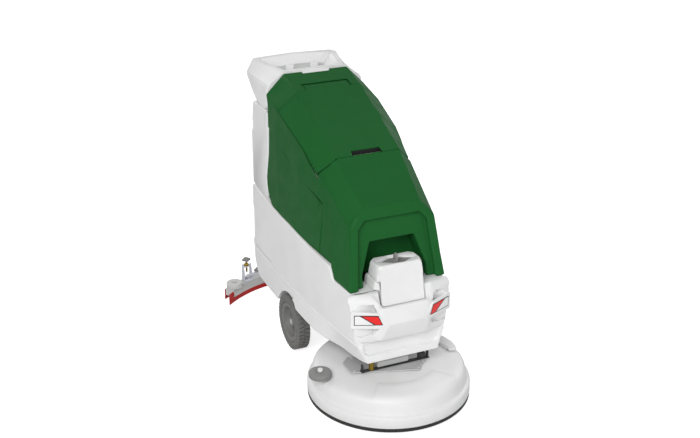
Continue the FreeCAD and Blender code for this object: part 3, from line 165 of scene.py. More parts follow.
def skin_grain():
    """The fine, pebbled skin that a moulding takes from its tool."""
    tree, start, end = new_effect("skin_grain", [("Grain Size", 0.001), ("Depth", 1)], ["Height"])
    place = tree.nodes.new("ShaderNodeTexCoord").outputs["Object"]
    density = chain(tree, "ShaderNodeMath", {0: 1, 1: start.outputs["Grain Size"]}, operation="DIVIDE")
    pebbles = chain(tree, "ShaderNodeTexVoronoi", {"Vector": place, "Scale": density.outputs[0]},
                    feature="SMOOTH_F1")
    fine = chain(tree, "ShaderNodeTexNoise", {"Vector": place, "Scale": density.outputs[0], "Detail": 2})
    both = chain(tree, "ShaderNodeMath", {0: pebbles.outputs["Distance"], 1: fine.outputs["Fac"]},
                 operation="ADD")
    height = chain(tree, "ShaderNodeMath", {0: both.outputs[0], 1: start.outputs["Depth"]},
                   operation="MULTIPLY")
    tree.links.new(height.outputs[0], end.inputs["Height"])
    return tree


def slow_drift():
    """Soft clouds some centimetres wide: the unevenness of colour and gloss over a big part."""
    tree, start, end = new_effect("slow_drift", [("Cloud Size", 0.12), ("Low", 0.9), ("High", 1)], ["Value"])
    place = tree.nodes.new("ShaderNodeTexCoord").outputs["Object"]
    density = chain(tree, "ShaderNodeMath", {0: 1, 1: start.outputs["Cloud Size"]}, operation="DIVIDE")
    cloud = chain(tree, "ShaderNodeTexNoise", {"Vector": place, "Scale": density.outputs[0], "Detail": 3})
    drift = chain(
        tree, "ShaderNodeMapRange",
        {"Value": cloud.outputs["Fac"], "From Min": 0.3, "From Max": 0.7,
         "To Min": start.outputs["Low"], "To Max": start.outputs["High"]},
    )
    tree.links.new(drift.outputs["Result"], end.inputs["Value"])
    return tree


def floor_dust():
    """A mask that grows towards the floor, broken up by noise, for dust and dried splashes."""
    tree, start, end = new_effect("floor_dust", [("Reach", 0.12), ("Amount", 0.3)], ["Mask"])
    place = tree.nodes.new("ShaderNodeTexCoord").outputs["Object"]
    level = chain(tree, "ShaderNodeSeparateXYZ", {"Vector": place})
    low = chain(
        tree, "ShaderNodeMapRange",
        {"Value": level.outputs["Z"], "From Min": start.outputs["Reach"], "From Max": 0, "To Min": 0,
         "To Max": 1},
    )
    specks = chain(tree, "ShaderNodeTexNoise", {"Vector": place, "Scale": 90, "Detail": 4})
    patchy = chain(tree, "ShaderNodeMath", {0: low.outputs["Result"], 1: specks.outputs["Fac"]},
                   operation="MULTIPLY")
    mask = chain(tree, "ShaderNodeMath", {0: patchy.outputs[0], 1: start.outputs["Amount"]},
                 operation="MULTIPLY")
    tree.links.new(mask.outputs[0], end.inputs["Mask"])
    return tree


def fine_scratches():
    """Thin crossing lines, as handling leaves on gloss and metal."""
    tree, start, end = new_effect("fine_scratches", [("Length", 0.03), ("Amount", 0.5)], ["Mask"])
    place = tree.nodes.new("ShaderNodeTexCoord").outputs["Object"]
    density = chain(tree, "ShaderNodeMath", {0: 1, 1: start.outputs["Length"]}, operation="DIVIDE")
    masks = []
    for tilt in (0.4, 2.1):
        stretch = chain(tree, "ShaderNodeMapping", {"Vector": place})
        stretch.inputs["Rotation"].default_value = (tilt, tilt * 0.7, tilt * 1.3)
        stretch.inputs["Scale"].default_value = (1, 14, 14)
        lines = chain(tree, "ShaderNodeTexNoise",
                      {"Vector": stretch.outputs[0], "Scale": density.outputs[0], "Detail": 1})
        masks.append(
            chain(tree, "ShaderNodeMapRange", {"Value": lines.outputs["Fac"], "From Min": 0.66,
                                               "From Max": 0.74})
        )
    both = chain(
        tree, "ShaderNodeMath", {0: masks[0].outputs["Result"], 1: masks[1].outputs["Result"]},
        operation="MAXIMUM"
    )
    mask = chain(tree, "ShaderNodeMath", {0: both.outputs[0], 1: start.outputs["Amount"]},
                 operation="MULTIPLY")
    tree.links.new(mask.outputs[0], end.inputs["Mask"])
    return tree


effects = {f.name: f for f in (skin_grain(), slow_drift(), floor_dust(), fine_scratches())}
print("effects", sorted(effects))

# %% [markdown]
# ## Finishes
# Rotation-moulded polyethylene is satin with a faint pebbled skin. The green cover is the same plastic,
# coloured through. Metal parts are zinc plated, yellow passivated or powder coated, and rubber is dull.
# One recipe makes them all: base colour times the slow drift, dust mixed over it, and scratches and
# drift in the roughness. Only the numbers differ, and special finishes are made after it.


# %% Mix the finishes
def finish_of(name, colour, rough=0.45, metal=0.0, grain=0.0012, depth=0.15, cloud=0.15,
              drift=0.94, dust=0.25, reach=0.15, scratch=0.15, coat=0.0, shine=0.35):
    """A material from the shared effects; colour is linear red, green, blue."""
    material = bpy.data.materials.new(name)
    material.use_nodes = True
    tree = material.node_tree
    shader = tree.nodes["Principled BSDF"]
    shader.inputs["Metallic"].default_value = metal
    shader.inputs["Coat Weight"].default_value = coat
    shader.inputs["Specular IOR Level"].default_value = shine

    def effect(label, **sizes):
        node = tree.nodes.new("ShaderNodeGroup")
        node.node_tree = effects[label]
        for key, value in sizes.items():
            node.inputs[key.replace("_", " ")].default_value = value
        return node.outputs[0]

    shade = effect("slow_drift", Cloud_Size=cloud, Low=drift, High=1.0)
    tinted = chain(tree, "ShaderNodeMix", {"Factor": shade}, data_type="RGBA")
    tinted.inputs["A"].default_value = (0, 0, 0, 1)
    tinted.inputs["B"].default_value = (*colour, 1)
    settled = effect("floor_dust", Reach=reach, Amount=dust)
    dusty = chain(tree, "ShaderNodeMix", {"Factor": settled, "A": tinted.outputs["Result"]}, data_type="RGBA")
    tree.links.new(tinted.outputs[2], dusty.inputs[6])
    dusty.inputs[7].default_value = (0.32, 0.3, 0.27, 1)
    tree.links.new(dusty.outputs[2], shader.inputs["Base Color"])
    worn = effect("fine_scratches", Length=0.03, Amount=scratch)
    dull = effect("slow_drift", Cloud_Size=cloud * 0.4, Low=rough * 0.88, High=rough * 1.1)
    total = chain(tree, "ShaderNodeMath", {0: dull, 1: worn}, operation="ADD", use_clamp=True)
    tree.links.new(total.outputs[0], shader.inputs["Roughness"])
    bumps = effect("skin_grain", Grain_Size=grain, Depth=depth)
    bump = chain(tree, "ShaderNodeBump", {"Height": bumps, "Strength": 0.35, "Distance": 0.0004})
    tree.links.new(bump.outputs["Normal"], shader.inputs["Normal"])
    return material


finishes = {
    "white_plastic": finish_of("white_plastic", (0.86, 0.86, 0.86), rough=0.42, dust=0.12),
    "green_plastic": finish_of("green_plastic", (0.0115, 0.112, 0.0235), rough=0.6, dust=0.0, shine=0.12),
    "pale_plastic": finish_of("pale_plastic", (0.62, 0.63, 0.62), rough=0.45, dust=0.2),
    "grey_plastic": finish_of("grey_plastic", (0.26, 0.258, 0.255), rough=0.5, grain=0.0008),
    "black_plastic": finish_of("black_plastic", (0.012, 0.012, 0.012), rough=0.55, dust=0.1),
    "reflector": finish_of("reflector", (0.01, 0.01, 0.01), rough=0.25, depth=0.0, dust=0.0, coat=0.5),
    "steel": finish_of("steel", (0.66, 0.66, 0.67), rough=0.38, metal=0.4, grain=0.0005, scratch=0.3),
    "yellow_zinc": finish_of("yellow_zinc", (0.33, 0.22, 0.03), rough=0.4, metal=0.7, grain=0.0005),
    "bracket_steel": finish_of("bracket_steel", (0.68, 0.7, 0.76), rough=0.4, metal=0.1, grain=0.0006),
    "dark_metal": finish_of("dark_metal", (0.05, 0.05, 0.05), rough=0.5, metal=0.2, grain=0.0008),
    "tyre_rubber": finish_of("tyre_rubber", (0.17, 0.17, 0.166), rough=0.75, grain=0.0007, dust=0.35),
    "hub_plastic": finish_of("hub_plastic", (0.2, 0.2, 0.198), rough=0.55, dust=0.3),
    "red_rubber": finish_of("red_rubber", (0.5, 0.01, 0.008), rough=0.5, grain=0.0006, dust=0.05),
    "bristle": finish_of("bristle", (0.2, 0.32, 0.5), rough=0.5, grain=0.0005),
    "battery_case": finish_of("battery_case", (0.02, 0.02, 0.022), rough=0.55),
    "collar_stripes": finish_of("collar_stripes", (0.55, 0.35, 0.02), rough=0.4, grain=0.0006),
    "reflector_white": finish_of("reflector_white", (0.9, 0.9, 0.9), rough=0.25, depth=0.0, dust=0.0,
                                 coat=0.5),
    "reflector_red": finish_of("reflector_red", (0.85, 0.004, 0.004), rough=0.25, depth=0.0, dust=0.0,
                               coat=0.5),
    "floor": finish_of("floor", (0.8, 0.8, 0.8), rough=0.8, depth=0.0, dust=0.0, drift=0.995),
}
floor_mesh.materials.append(finishes["floor"])
floor_nodes = finishes["floor"].node_tree
seen = floor_nodes.nodes.new("ShaderNodeLightPath")
glow = chain(floor_nodes, "ShaderNodeMath", {0: seen.outputs["Is Camera Ray"], 1: 0.75}, operation="MULTIPLY")
floor_nodes.nodes["Principled BSDF"].inputs["Emission Color"].default_value = (1, 1, 1, 1)
floor_nodes.links.new(glow.outputs[0], floor_nodes.nodes["Principled BSDF"].inputs["Emission Strength"])
slot_of = {part["node"]: part["material_slot"] for part in frame["record"]["subparts"]}
# The motor wears a pale cover, so it takes the finish of the other pale mouldings.
slot_of["brush_motor"] = "pale_plastic"
body_of = {node: body for body, nodes in frame["record"]["behaviour"]["bodies"].items() for node in nodes}
print(len(finishes), "finishes for", len(slot_of), "solids")


# %% [markdown]
# ## Putting pieces in
# Every piece needs the same four things: a place in the scene, a finish, a body to ride on, and the
# solids that it stands for put out of sight. A short helper does all four, so that none is forgotten.


def add_piece(name, mesh, body, slot, *stands_for):
    """Puts a finished mesh in the scene, with its finish and its body, and hides the solids it stands for."""
    piece = bpy.data.objects.new(name, mesh)
    bpy.context.scene.collection.objects.link(piece)
    if not mesh.materials:
        mesh.materials.append(finishes[slot])
    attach(piece, body)
    if stands_for:
        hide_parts(*stands_for)
    return piece


# %% [markdown]
# ## A drawing board in millimetres
# The machine was drawn from the middle of its brush: x to the right, y to the rear and z up from the
# floor, all in millimetres. One helper turns such a place into the frame's metres. Others build a
# closed skin through rings of points, push an outline into a prism, and carve one shape from another.

# %% Measure from the middle of the brush
brush_low, brush_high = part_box("brush_block")
brush_middle = (brush_low + brush_high) / 2
print("brush middle", [round(v, 4) for v in brush_middle])


def at(x, y, z):
    """A drawn place in millimetres, as a place in the frame."""
    return Vector((x / 1000, brush_middle.y + y / 1000, z / 1000))


def skin(name, rings, caps=True):
    """A closed mesh through rings that all have the same number of points."""
    work = bmesh.new()
    rows = [[work.verts.new(p) for p in ring] for ring in rings]
    count = len(rows[0])
    for near, far in zip(rows, rows[1:]):
        for i in range(count):
            work.faces.new((near[i], near[(i + 1) % count], far[(i + 1) % count], far[i]))
    if caps:
        work.faces.new(rows[0][::-1])
        work.faces.new(rows[-1])
    bmesh.ops.recalc_face_normals(work, faces=work.faces)
    mesh = bpy.data.meshes.new(name)
    work.to_mesh(mesh)
    work.free()
    return mesh


def whole(half):
    """A half outline, from the middle of the front round to the middle of the back, made whole."""
    return [(x, y) for x, y in half] + [(-x, y) for x, y in reversed(half) if x > 0.001]


def prism(outline, axis, low, high):
    """An outline pushed along one axis; its points are the other two axes, in order."""
    place = {"x": lambda a, b, t: at(t, a, b), "y": lambda a, b, t: at(a, t, b),
             "z": lambda a, b, t: at(a, b, t)}
    return skin("prism", [[place[axis](a, b, t) for a, b in outline] for t in (low, high)])


def carve(mesh, tools, how="DIFFERENCE", flat=True):
    """The mesh after each tool has been cut from it, or joined to it. Flat triangles cut cleanest."""
    for shape in [mesh, *tools] if flat else tools:
        work = bmesh.new()
        work.from_mesh(shape)
        bmesh.ops.triangulate(work, faces=work.faces)
        work.to_mesh(shape)
        work.free()
    blank = bpy.data.objects.new("blank", mesh)
    made = [blank]
    bpy.context.scene.collection.objects.link(blank)
    for tool in tools:
        cutter = bpy.data.objects.new("cutter", tool)
        bpy.context.scene.collection.objects.link(cutter)
        made.append(cutter)
        cut = blank.modifiers.new("cut", "BOOLEAN")
        cut.object = cutter
        cut.operation = how
        cut.solver = "EXACT"
    result = bpy.data.meshes.new_from_object(blank.evaluated_get(bpy.context.evaluated_depsgraph_get()))
    for item in made:
        bpy.data.objects.remove(item)
    return result


def shifted(mesh, move):
    """A copy whose points have gone through a rule."""
    copy = mesh.copy()
    for vertex in copy.vertices:
        vertex.co = move(vertex.co)
    return copy


# %% [markdown]
# ## Rolled edges
# No moulding has a knife edge: plastic leaves the tool with edges of two to eight millimetres radius,
# and they catch the light. A plain bevel on every edge would tear where two edges lie close together,
# so each edge first gets a weight, from the room that its faces have, and narrow ones stay as they are.


# %% Round a shell over
def tidy_mesh(mesh, flat=True):
    """Joins the corners of a mesh and, if wanted, makes its flat faces whole again."""
    work = bmesh.new()
    work.from_mesh(mesh)
    bmesh.ops.remove_doubles(work, verts=work.verts, dist=0.0002 if flat else 0.00002)
    if flat:
        bmesh.ops.dissolve_degenerate(work, edges=work.edges, dist=0.0003)
        bmesh.ops.dissolve_limit(work, angle_limit=math.radians(1), verts=work.verts, edges=work.edges)
    return work


def weigh_edges(work, width, sharp):
    """Marks the sharp edges to round over: all of them whose faces are wide enough on both sides."""
    weight = work.edges.layers.float.new("bevel_weight_edge")
    hard = {e for e in work.edges if len(e.link_faces) == 2 and e.calc_face_angle(0) > sharp}
    rounded = 0
    for edge in hard:
        room = width
        for end in edge.verts:
            along = (edge.other_vert(end).co - end.co).normalized()
            for other in end.link_edges:
                away = other.other_vert(end).co - end.co
                slant = away.normalized().dot(along)
                if other is edge or (slant < -0.7 and other in hard):
                    continue
                if abs(slant) > 0.93 or (slant > 0.8 and other in hard):
                    room = 0
                far_hard = any(e in hard for e in other.other_vert(end).link_edges if e is not other)
                reach = away.length * math.sqrt(max(0.0, 1 - slant * slant))
                room = min(room, reach * (0.45 if far_hard else 0.9))
        if room > width * 0.35:
            edge[weight] = room / width
            rounded += 1
    return rounded


def round_over(mesh, name, edge_radius, body, slot, *nodes, sharp=25, steps=3, flat=True):
    """Finishes a mesh as a moulded piece: rolled edges, even shading, its finish and its body."""
    work = tidy_mesh(mesh, flat)
    rounded = weigh_edges(work, edge_radius, math.radians(sharp))
    for face in work.faces:
        face.smooth = True
    mesh = bpy.data.meshes.new(name)
    work.to_mesh(mesh)
    work.free()
    piece = add_piece(name, mesh, body, slot, *nodes)
    roll = piece.modifiers.new("rolled_edges", "BEVEL")
    roll.limit_method = "WEIGHT"
    roll.width = edge_radius
    roll.segments = steps
    roll.use_clamp_overlap = False
    roll.miter_outer = "MITER_SHARP"
    even = piece.modifiers.new("even_shading", "WEIGHTED_NORMAL")
    even.weight = 80
    print(name, "rounded edges", rounded, "of", len(mesh.edges))
    return piece


def solid_mesh(node):
    """A loose copy of a solid's mesh with its corners joined."""
    work = tidy_mesh(frame["nodes"][node].data, flat=False)
    mesh = bpy.data.meshes.new(node + "_copy")
    work.to_mesh(mesh)
    work.free()
    return mesh


def round_solid(node, edge_radius, name, sharp=25):
    """A solid that keeps its drawn shape and only gets rolled edges."""
    return round_over(solid_mesh(node), name, edge_radius, body_of[node], slot_of[node], node, sharp=sharp)


# %% [markdown]
# ## The lower tank
# The clean-water tank is one big rotation moulding that hangs over the wheels. Its width changes slowly
# from nose to stern, a fold runs the whole length of its side, and its nose leans back. A surface with
# such a rule is best made from rules: short tables of widths and heights, read smoothly at many stations,
# with the rolled edges drawn into each section. Only the wells, arches and panels are carved afterwards.


# %% Read the tank's tables smoothly
def read(table, value):
    """A smooth value between the rows of a (place, value) table, flat beyond its ends."""
    if value <= table[0][0]:
        return table[0][1]
    for i in range(len(table) - 1):
        (x0, y0), (x1, y1) = table[i], table[i + 1]
        if value <= x1:
            before = table[i - 1] if i else (x0 - (x1 - x0), y0)
            after = table[i + 2] if i + 2 < len(table) else (x1 + (x1 - x0), y1)
            slope0 = (y1 - before[1]) / (x1 - before[0])
            slope1 = (after[1] - y0) / (after[0] - x0)
            t, gap = (value - x0) / (x1 - x0), x1 - x0
            return ((2 * t**3 - 3 * t**2 + 1) * y0 + (t**3 - 2 * t**2 + t) * gap * slope0
                    + (3 * t**2 - 2 * t**3) * y1 + (t**3 - t**2) * gap * slope1)
    return table[-1][1]


def straight(table, value):
    """The same without smoothing, for outlines that are drawn with straight lines."""
    for (x0, y0), (x1, y1) in zip(table, table[1:]):
        if value <= x1:
            return y0 + (y1 - y0) * max(0.0, value - x0) / (x1 - x0)
    return table[-1][1]


skirt_width = [(-109, 138), (-60, 152), (34, 169), (104, 190), (166, 203), (254, 207.5), (363, 208),
               (541, 208),
               (716, 204), (790, 197), (840, 182), (868, 158), (886, 120)]
fold_width = [(-109, 168), (-60, 172), (34, 181), (104, 187), (166, 191), (254, 198), (363, 201), (541, 206),
              (716, 204), (790, 199), (840, 186), (868, 162), (886, 124)]
rim_width = [(-109, 172), (-60, 176), (34, 183), (104, 188), (166, 191), (254, 194), (363, 196), (541, 197),
             (716, 197), (790, 194), (840, 182), (868, 158), (886, 120)]
rim_height = [(-109, 434.5), (55, 434.5), (87, 476), (261, 481), (417, 491), (601, 499), (790, 521),
              (837, 503),
              (850, 476), (872, 432), (886, 400)]
keel_height = [(-109, 190), (380, 190), (380.5, 150), (736, 150), (756, 158), (796, 182), (836, 217),
               (858, 270),
               (878, 351), (886, 398)]
nose_lean = [(150, -109), (190, -109), (263, -92), (404, -76), (437, -62), (520, -62)]
fold_height = 262


def tank_section(y):
    """One side of the tank's section: points from the keel's middle up to the middle of the rim."""
    keel, rim = straight(keel_height, y), straight(rim_height, y)
    skirt, fold, top = read(skirt_width, y), read(fold_width, y), read(rim_width, y)
    fit = min(1.0, (rim - keel) / 60)
    foot, low_fold = keel + 8 * fit, max(keel + 12 * fit, fold_height - 7)
    high_fold = max(keel + 20 * fit, fold_height + 1)
    open_fold = 5.5 if keel < fold_height - 30 else 0
    under_rim = rim - 8 * fit
    rows = [(0, keel), (skirt - 8, keel), (skirt - 3, keel + 1.2 * fit),
            (skirt - 0.8, keel + 3.6 * fit), (skirt, foot)]
    rows += [(skirt + (fold - skirt) * share - 1.5, foot + (low_fold - foot) * share)
             for share in (0.35, 0.7, 0.98)]
    rows += [(fold - 3, low_fold + fit), (fold - open_fold - 1, low_fold + 3 * fit),
             (fold - open_fold, high_fold - 1.5 * fit), (fold - 1.2, high_fold),
             (fold, high_fold + 2.5 * fit)]
    rows += [(fold + (top - fold) * share,
              high_fold + 2.5 * fit + (under_rim - high_fold - 2.5 * fit) * share)
             for share in (0.3, 0.6, 0.9)]
    rows += [(top, rim - 6 * fit), (top - 0.8, rim - 2.8 * fit), (top - 3, rim - 0.8 * fit),
             (top - 7, rim), (0, rim)]
    return rows


stations = [-109, -107, -102, -94, -84, -70, -50, -25, 0, 20, 40, 54, 56, 64, 72, 80, 86, 89, 104, 130,
            166, 210, 254,
            300, 363, 379.8, 380.7, 417, 480, 541, 601, 660, 716, 735, 745, 756, 775, 790, 806, 822, 836,
            845, 852, 858,
            865, 871, 876, 880, 883.5, 886]
tank_rings = []
for y in stations:
    ring = []
    for x, z in whole(tank_section(y)):
        front = straight(nose_lean, z)
        share = (y + 109) / 160
        place = y if share > 1 else front + (51 - front) * share
        nose_corner = 1 if y > -94 else 1 - 0.035 * ((-94 - y) / 15) ** 2
        ring.append(at(x * nose_corner, place, z))
    tank_rings.append(ring)
tank = skin("tank", tank_rings)
print("tank sections", len(tank_rings), "of", len(tank_rings[0]), "points")

# %% Carve the panels, the arches and the wells
nose_panel = [(0, 212), (118, 212), (140, 224), (141, 257), (0, 257)]
well_floor = 246
cutters = [
    prism([(x, z) for x, z in whole(nose_panel)], "y", -140, -89),
    prism([(-150, 11), (150, 11), (150, 636), (-150, 636)], "z", well_floor, 560),
]
arch = [(421 + 116 * math.cos(a * math.tau / 64), 105 + 116 * math.sin(a * math.tau / 64)) for a in range(64)]
for low, high in ((145.5, 260), (-260, -145.5)):
    cutters.append(prism(arch, "x", low, high))
for x in (-100, 100):
    cutters.append(prism([(x - 33, 826), (x + 33, 826), (x + 33, 906), (x - 33, 906)], "z", 480, 700))
stern = [(811, 419), (754, 388), (682, 368), (629, 355), (606, 317), (585, 291), (590, 274), (900, 274),
         (900, 440)]


def towards_middle(depth):
    """A rule that pulls a place in by this depth, sideways and lengthwise."""
    middle = brush_middle.y + 0.388
    return lambda p: Vector((p.x * (1 - depth / 0.2), middle + (p.y - middle) * (1 - depth / 0.497), p.z))


for low, high in ((120, 260), (-260, -120)):
    cutters.append(carve(prism(stern, "x", low, high), [shifted(tank, towards_middle(0.0028))]))
tank = carve(tank, cutters, flat=False)
round_over(tank, "solution_tank_shell", 0.004, "chassis", "white_plastic", "solution_tank", sharp=38,
           flat=False)

# %% [markdown]
# ## The green hood and its lid
# The hood is a folded shell whose sides are stepped in below a line that falls from the rear corner to
# the arch. The step is cut with a prism from which the hood itself, moved three millimetres inwards, has
# been taken away. The lid keeps its drawn shape. A dish under the finger slot and a gutter round the
# tongue close the gaps, as in the real moulding, so that nobody looks into the tank.


# %% Step the hood's sides in
def narrower(depth):
    """A rule that moves the sides towards the middle and leaves the top where it is."""
    return lambda p: Vector((p.x - math.copysign(min(depth, abs(p.x)), p.x), p.y, p.z))


hood = solid_mesh("hood")
side_line = [(604, 803), (428, 740), (277, 695), (161, 665), (120, 645), (99, 617), (87, 550),
             (81, 473), (60, 442)]
side_area = side_line + [(60, 420), (700, 420), (700, 803)]
panels = [
    carve(prism(side_area, "x", low, high), [shifted(hood, narrower(0.0035))])
    for low, high in ((130, 260), (-260, -130))
]
hood = carve(hood, panels)
groove = [(81, 500), (90, 500), (90, 553), (-90, 553), (-90, 500), (-81, 500), (-81, 543), (81, 543)]
hood = carve(hood, [prism(groove, "z", 930, 1010)])
round_over(hood, "hood_shell", 0.005, "tank", "green_plastic", "hood")
round_solid("lid", 0.0022, "lid_shell")


def gutter_height(y):
    """Five millimetres under the top fold of the hood."""
    return 957 + (y - 507) * 0.266 - 5


gutter_path = [(86, 496), (86, 548), (-86, 548), (-86, 496)]
gutter_rings = []
for (x, y), (out_x, out_y) in zip(gutter_path, ((1, 0), (1, 1), (-1, 1), (-1, 0))):
    z = gutter_height(y)
    gutter_rings.append([
        at(x - 9 * out_x, y - 9 * out_y, z), at(x + 8 * out_x, y + 12 * out_y, z),
        at(x + 8 * out_x, y + 12 * out_y, z - 3), at(x - 9 * out_x, y - 9 * out_y, z - 3),
    ])
add_piece("tongue_gutter", skin("tongue_gutter", gutter_rings), "tank", "green_plastic")

landing_path = [(-170, 205, 748), (-120, 182, 806), (120, 182, 806), (170, 205, 748)]
landing = skin("landing", [
    [at(x, y - 14, z - 6), at(x, y + 12, z + 5), at(x, y + 12, z + 3), at(x, y - 14, z - 8)]
    for x, y, z in landing_path
])
add_piece("lid_landing", landing, "tank", "green_plastic")

slot_outer = skin("dish", [
    [at(x, y, 800 + (y - 182) * 0.434 + drop) for x, y in ((-w, 176), (w, 176), (w, 208), (-w, 208))]
    for w, drop in ((59, 10), (56, -14))
])
slot_inner = skin("dish", [
    [at(x, y, 800 + (y - 182) * 0.434 + drop) for x, y in ((-w, 178), (w, 178), (w, 206), (-w, 206))]
    for w, drop in ((57.4, 14), (54.4, -12))
])
round_over(carve(slot_outer, [slot_inner]), "finger_dish", 0.001, "lid", "black_plastic")

# %% [markdown]
# ## The nose and its lamps
# The white fascia is folded like cut paper. On each side a deep six-sided pocket holds a raised bezel,
# which crosses it like a bridge, and on the bezel sits a reflector: white outside, red inside, edged in
# black. The fascia is a skin through six levels. The seat of the filler and the pockets are carved.

# %% Fold the fascia and cut its pockets
fascia_levels = (
    (263, -108, 87, 116, -98, 174, -88), (275, -118, 87, 116, -101, 176, -87),
    (336, -139, 67, 114, -113, 182, -82),
    (391, -125, 79, 114, -111, 187, -77), (413, -110, 80, 113, -104, 188, -75),
    (434, -84, 84, 112, -82, 183, -64),
)
fascia = skin("fascia", [
    [at(x, y, z) for x, y in whole([(0, mid), (nose, mid), (cheek_x, cheek_y), (edge_x, edge_y),
                                    (edge_x, -47), (0, -47)])]
    for z, mid, nose, cheek_x, cheek_y, edge_x, edge_y in fascia_levels
])
behind = [(-92.5, 250), (-92.5, 263), (-76.5, 404), (-63.5, 437), (-19, 440), (-19, 250)]
seat = skin("seat", [
    [at(x, y, z) for x, y in whole([(0, -150), (side, -150), (side_back, back), (0, back)])]
    for z, side, side_back, back in ((391, 81, 81, -100), (437, 118, 114, -84), (450, 118, 114, -84))
])
apron_seat = prism([(-81, -112), (81, -112), (84, -86), (81, -72), (-81, -72), (-84, -86)], "z", 387, 480)
lamp_pocket = [(106, 294), (146, 285), (168, 296), (170, 384), (152, 402), (110, 404), (96, 360), (96, 318)]
pockets = [prism([(side * x, z) for x, z in lamp_pocket], "y", -160, -86) for side in (-1, 1)]
fascia = carve(fascia, [prism(behind, "x", -260, 260), seat, apron_seat] + pockets)
round_over(fascia, "fascia_shell", 0.003, "chassis", "white_plastic", "front_fascia")
for side, label in ((-1, "left"), (1, "right")):
    floor_plate = prism([(side * x, z) for x, z in lamp_pocket], "y", -90, -87)
    add_piece(f"lamp_pocket_floor_{label}", floor_plate, "chassis", "white_plastic")

# %% Set the bezels and the reflectors
lean = math.atan2(34, 82)


def lamp_place(side, along, out, z):
    """A place on the lamp's own plate, which leans back towards the outside of the machine."""
    x = 98 + along * math.cos(lean) + out * math.sin(lean)
    y = -117 + along * math.sin(lean) - out * math.cos(lean)
    return at(side * x, y, z)


def lamp_plate(name, side, outline, low, high, slot, radius, *nodes):
    """A thin plate on the lamp, its outline given along the plate and in height."""
    rings = [[lamp_place(side, along, out, z) for along, z in outline] for out in (low, high)]
    return round_over(skin(name, rings), name, radius, "chassis", slot, *nodes)


bezel = [(-31, 338), (-13, 321), (88, 322), (91, 325), (91, 382), (88, 385), (1, 378)]
border = [(-15, 337), (-10, 335.5), (80, 335.5), (80, 372.5), (0, 370.5)]
white_field = [(77.5, 338.5), (77.5, 369.8), (61, 369.4), (16, 338.5)]
red_field = [(54, 369.2), (2, 367.6), (-11.5, 341), (-8, 338.5), (9, 338.5)]
for side, label in ((-1, "left"), (1, "right")):
    lamp_plate(f"lamp_bezel_{label}", side, bezel, -2, 7, "white_plastic", 0.0022,
               *(["lamp_bezels"] if side < 0 else []))
    lamp_plate(f"reflector_edge_{label}", side, border, 5, 8, "reflector", 0.0005,
               *(["reflector_plates"] if side < 0 else []))
    lamp_plate(f"reflector_white_{label}", side, white_field, 7, 8.6, "reflector_white", 0.0004)
    lamp_plate(f"reflector_red_{label}", side, red_field, 7, 8.6, "reflector_red", 0.0004)

# %% [markdown]
# ## The filler
# The cap is a tall block with a long apron that tips forward on a pin at its foot. A diamond-shaped well
# in its top holds the latch, and its floor is a separate grey insert. The cap's levels are drawn with
# narrow shoulders, and the neck below it keeps a small step, as a lid over its rim would have.

# %% Build the cap, its insert and the neck
cap_rings = (
    (467, [(0, -89), (77, -89), (86, -72), (85, -8), (73, 5), (0, 5)]),
    (480, [(0, -86), (78, -86), (86, -70), (85, -9), (72, 4), (0, 4)]),
    (512, [(0, -79), (76, -79), (83, -63), (81, -12), (66, 2), (0, 2)]),
    (521, [(0, -75), (71, -75), (78, -60), (76, -15), (62, -2), (0, -2)]),
)
cap = skin("cap", [[at(x, y, z) for x, y in whole(half)] for z, half in cap_rings])
apron = skin("apron", [
    [at(x, y, z) for x, y in whole(half)] for z, half in (
        (390, [(0, -109), (75, -109), (78, -104), (78, -98), (0, -98)]),
        (470, [(0, -88.4), (77, -88.4), (80, -82), (80, -78), (0, -78)]),
    )
])
cap = carve(cap, [apron], "UNION")
well = [(-75, -40), (-16, -68), (16, -68), (75, -40), (16, -10), (-16, -10)]
cap = carve(cap, [prism(well, "z", 511, 560)])
round_over(cap, "filler_cap_shell", 0.004, "filler_cap", "white_plastic", "filler_cap")
insert = [(x * 0.97, -39 + (y + 39) * 0.95) for x, y in well]
round_over(prism(insert, "z", 509.5, 512), "latch_well_floor", 0.0008, "filler_cap", "grey_plastic")
round_solid("filler_latch", 0.0025, "latch_lever")
neck = skin("neck", [
    [at(x, y, z) for x, y in whole(half)] for z, half in (
        (436, [(0, -81), (78, -81), (93, -66), (93, 8), (0, 8)]),
        (456, [(0, -78), (78, -78), (90, -64), (90, 8), (0, 8)]),
        (465.5, [(0, -76), (76, -76), (86, -63), (86, 8), (0, 8)]),
    )
])
neck = carve(neck, [prism([(-52, -62), (52, -62), (52, -14), (-52, -14)], "z", 443, 480)])
round_over(neck, "filler_neck_shell", 0.003, "chassis", "white_plastic", "filler_neck")

# %% [markdown]
# ## The rear column and the console
# Both keep their drawn shape. The console is the softest moulding of the machine, because hands hold it,
# so its edges get the largest radius.

# %% Round the rear mouldings
round_solid("recovery_tank", 0.005, "rear_column")
round_solid("console", 0.007, "console_shell")
round_solid("control_panel", 0.0015, "control_plate")
for side in ("left", "right"):
    round_solid(f"panel_button_{side}", 0.003, f"button_{side}_cap")

# %% [markdown]
# ## The splash guard
# The round guard is turned about the brush, but its top isn't plain: a raised sector at the front, a dip
# round the guide wheel and a scooped seat under the release lever. A grid of rings and spokes is lifted
# by a rule for each of these, with soft steps, which gives the flowing edges of a real moulding.

# %% Lay out the guard's outline
dome_outline = [(34, 128), (60, 127.2), (100, 125.4), (140, 123.3), (158, 122.4), (164, 122), (170, 121.6),
                (190, 120.6), (205, 119.8), (220, 119), (232, 118.2), (243, 116.8), (251, 114.3),
                (257, 110.6),
                (261.5, 105.5), (264, 99.5), (265.2, 90), (266.3, 78), (267.3, 68), (268.6, 64.2),
                (271.5, 61.8),
                (275, 61), (278.6, 60), (281.2, 57.6), (282.6, 54), (282.9, 48), (282.9, 24),
                (281.8, 21.2), (278, 21.2),
                (278, 54), (262, 56), (259, 100), (240, 112.5), (34, 122.5)]


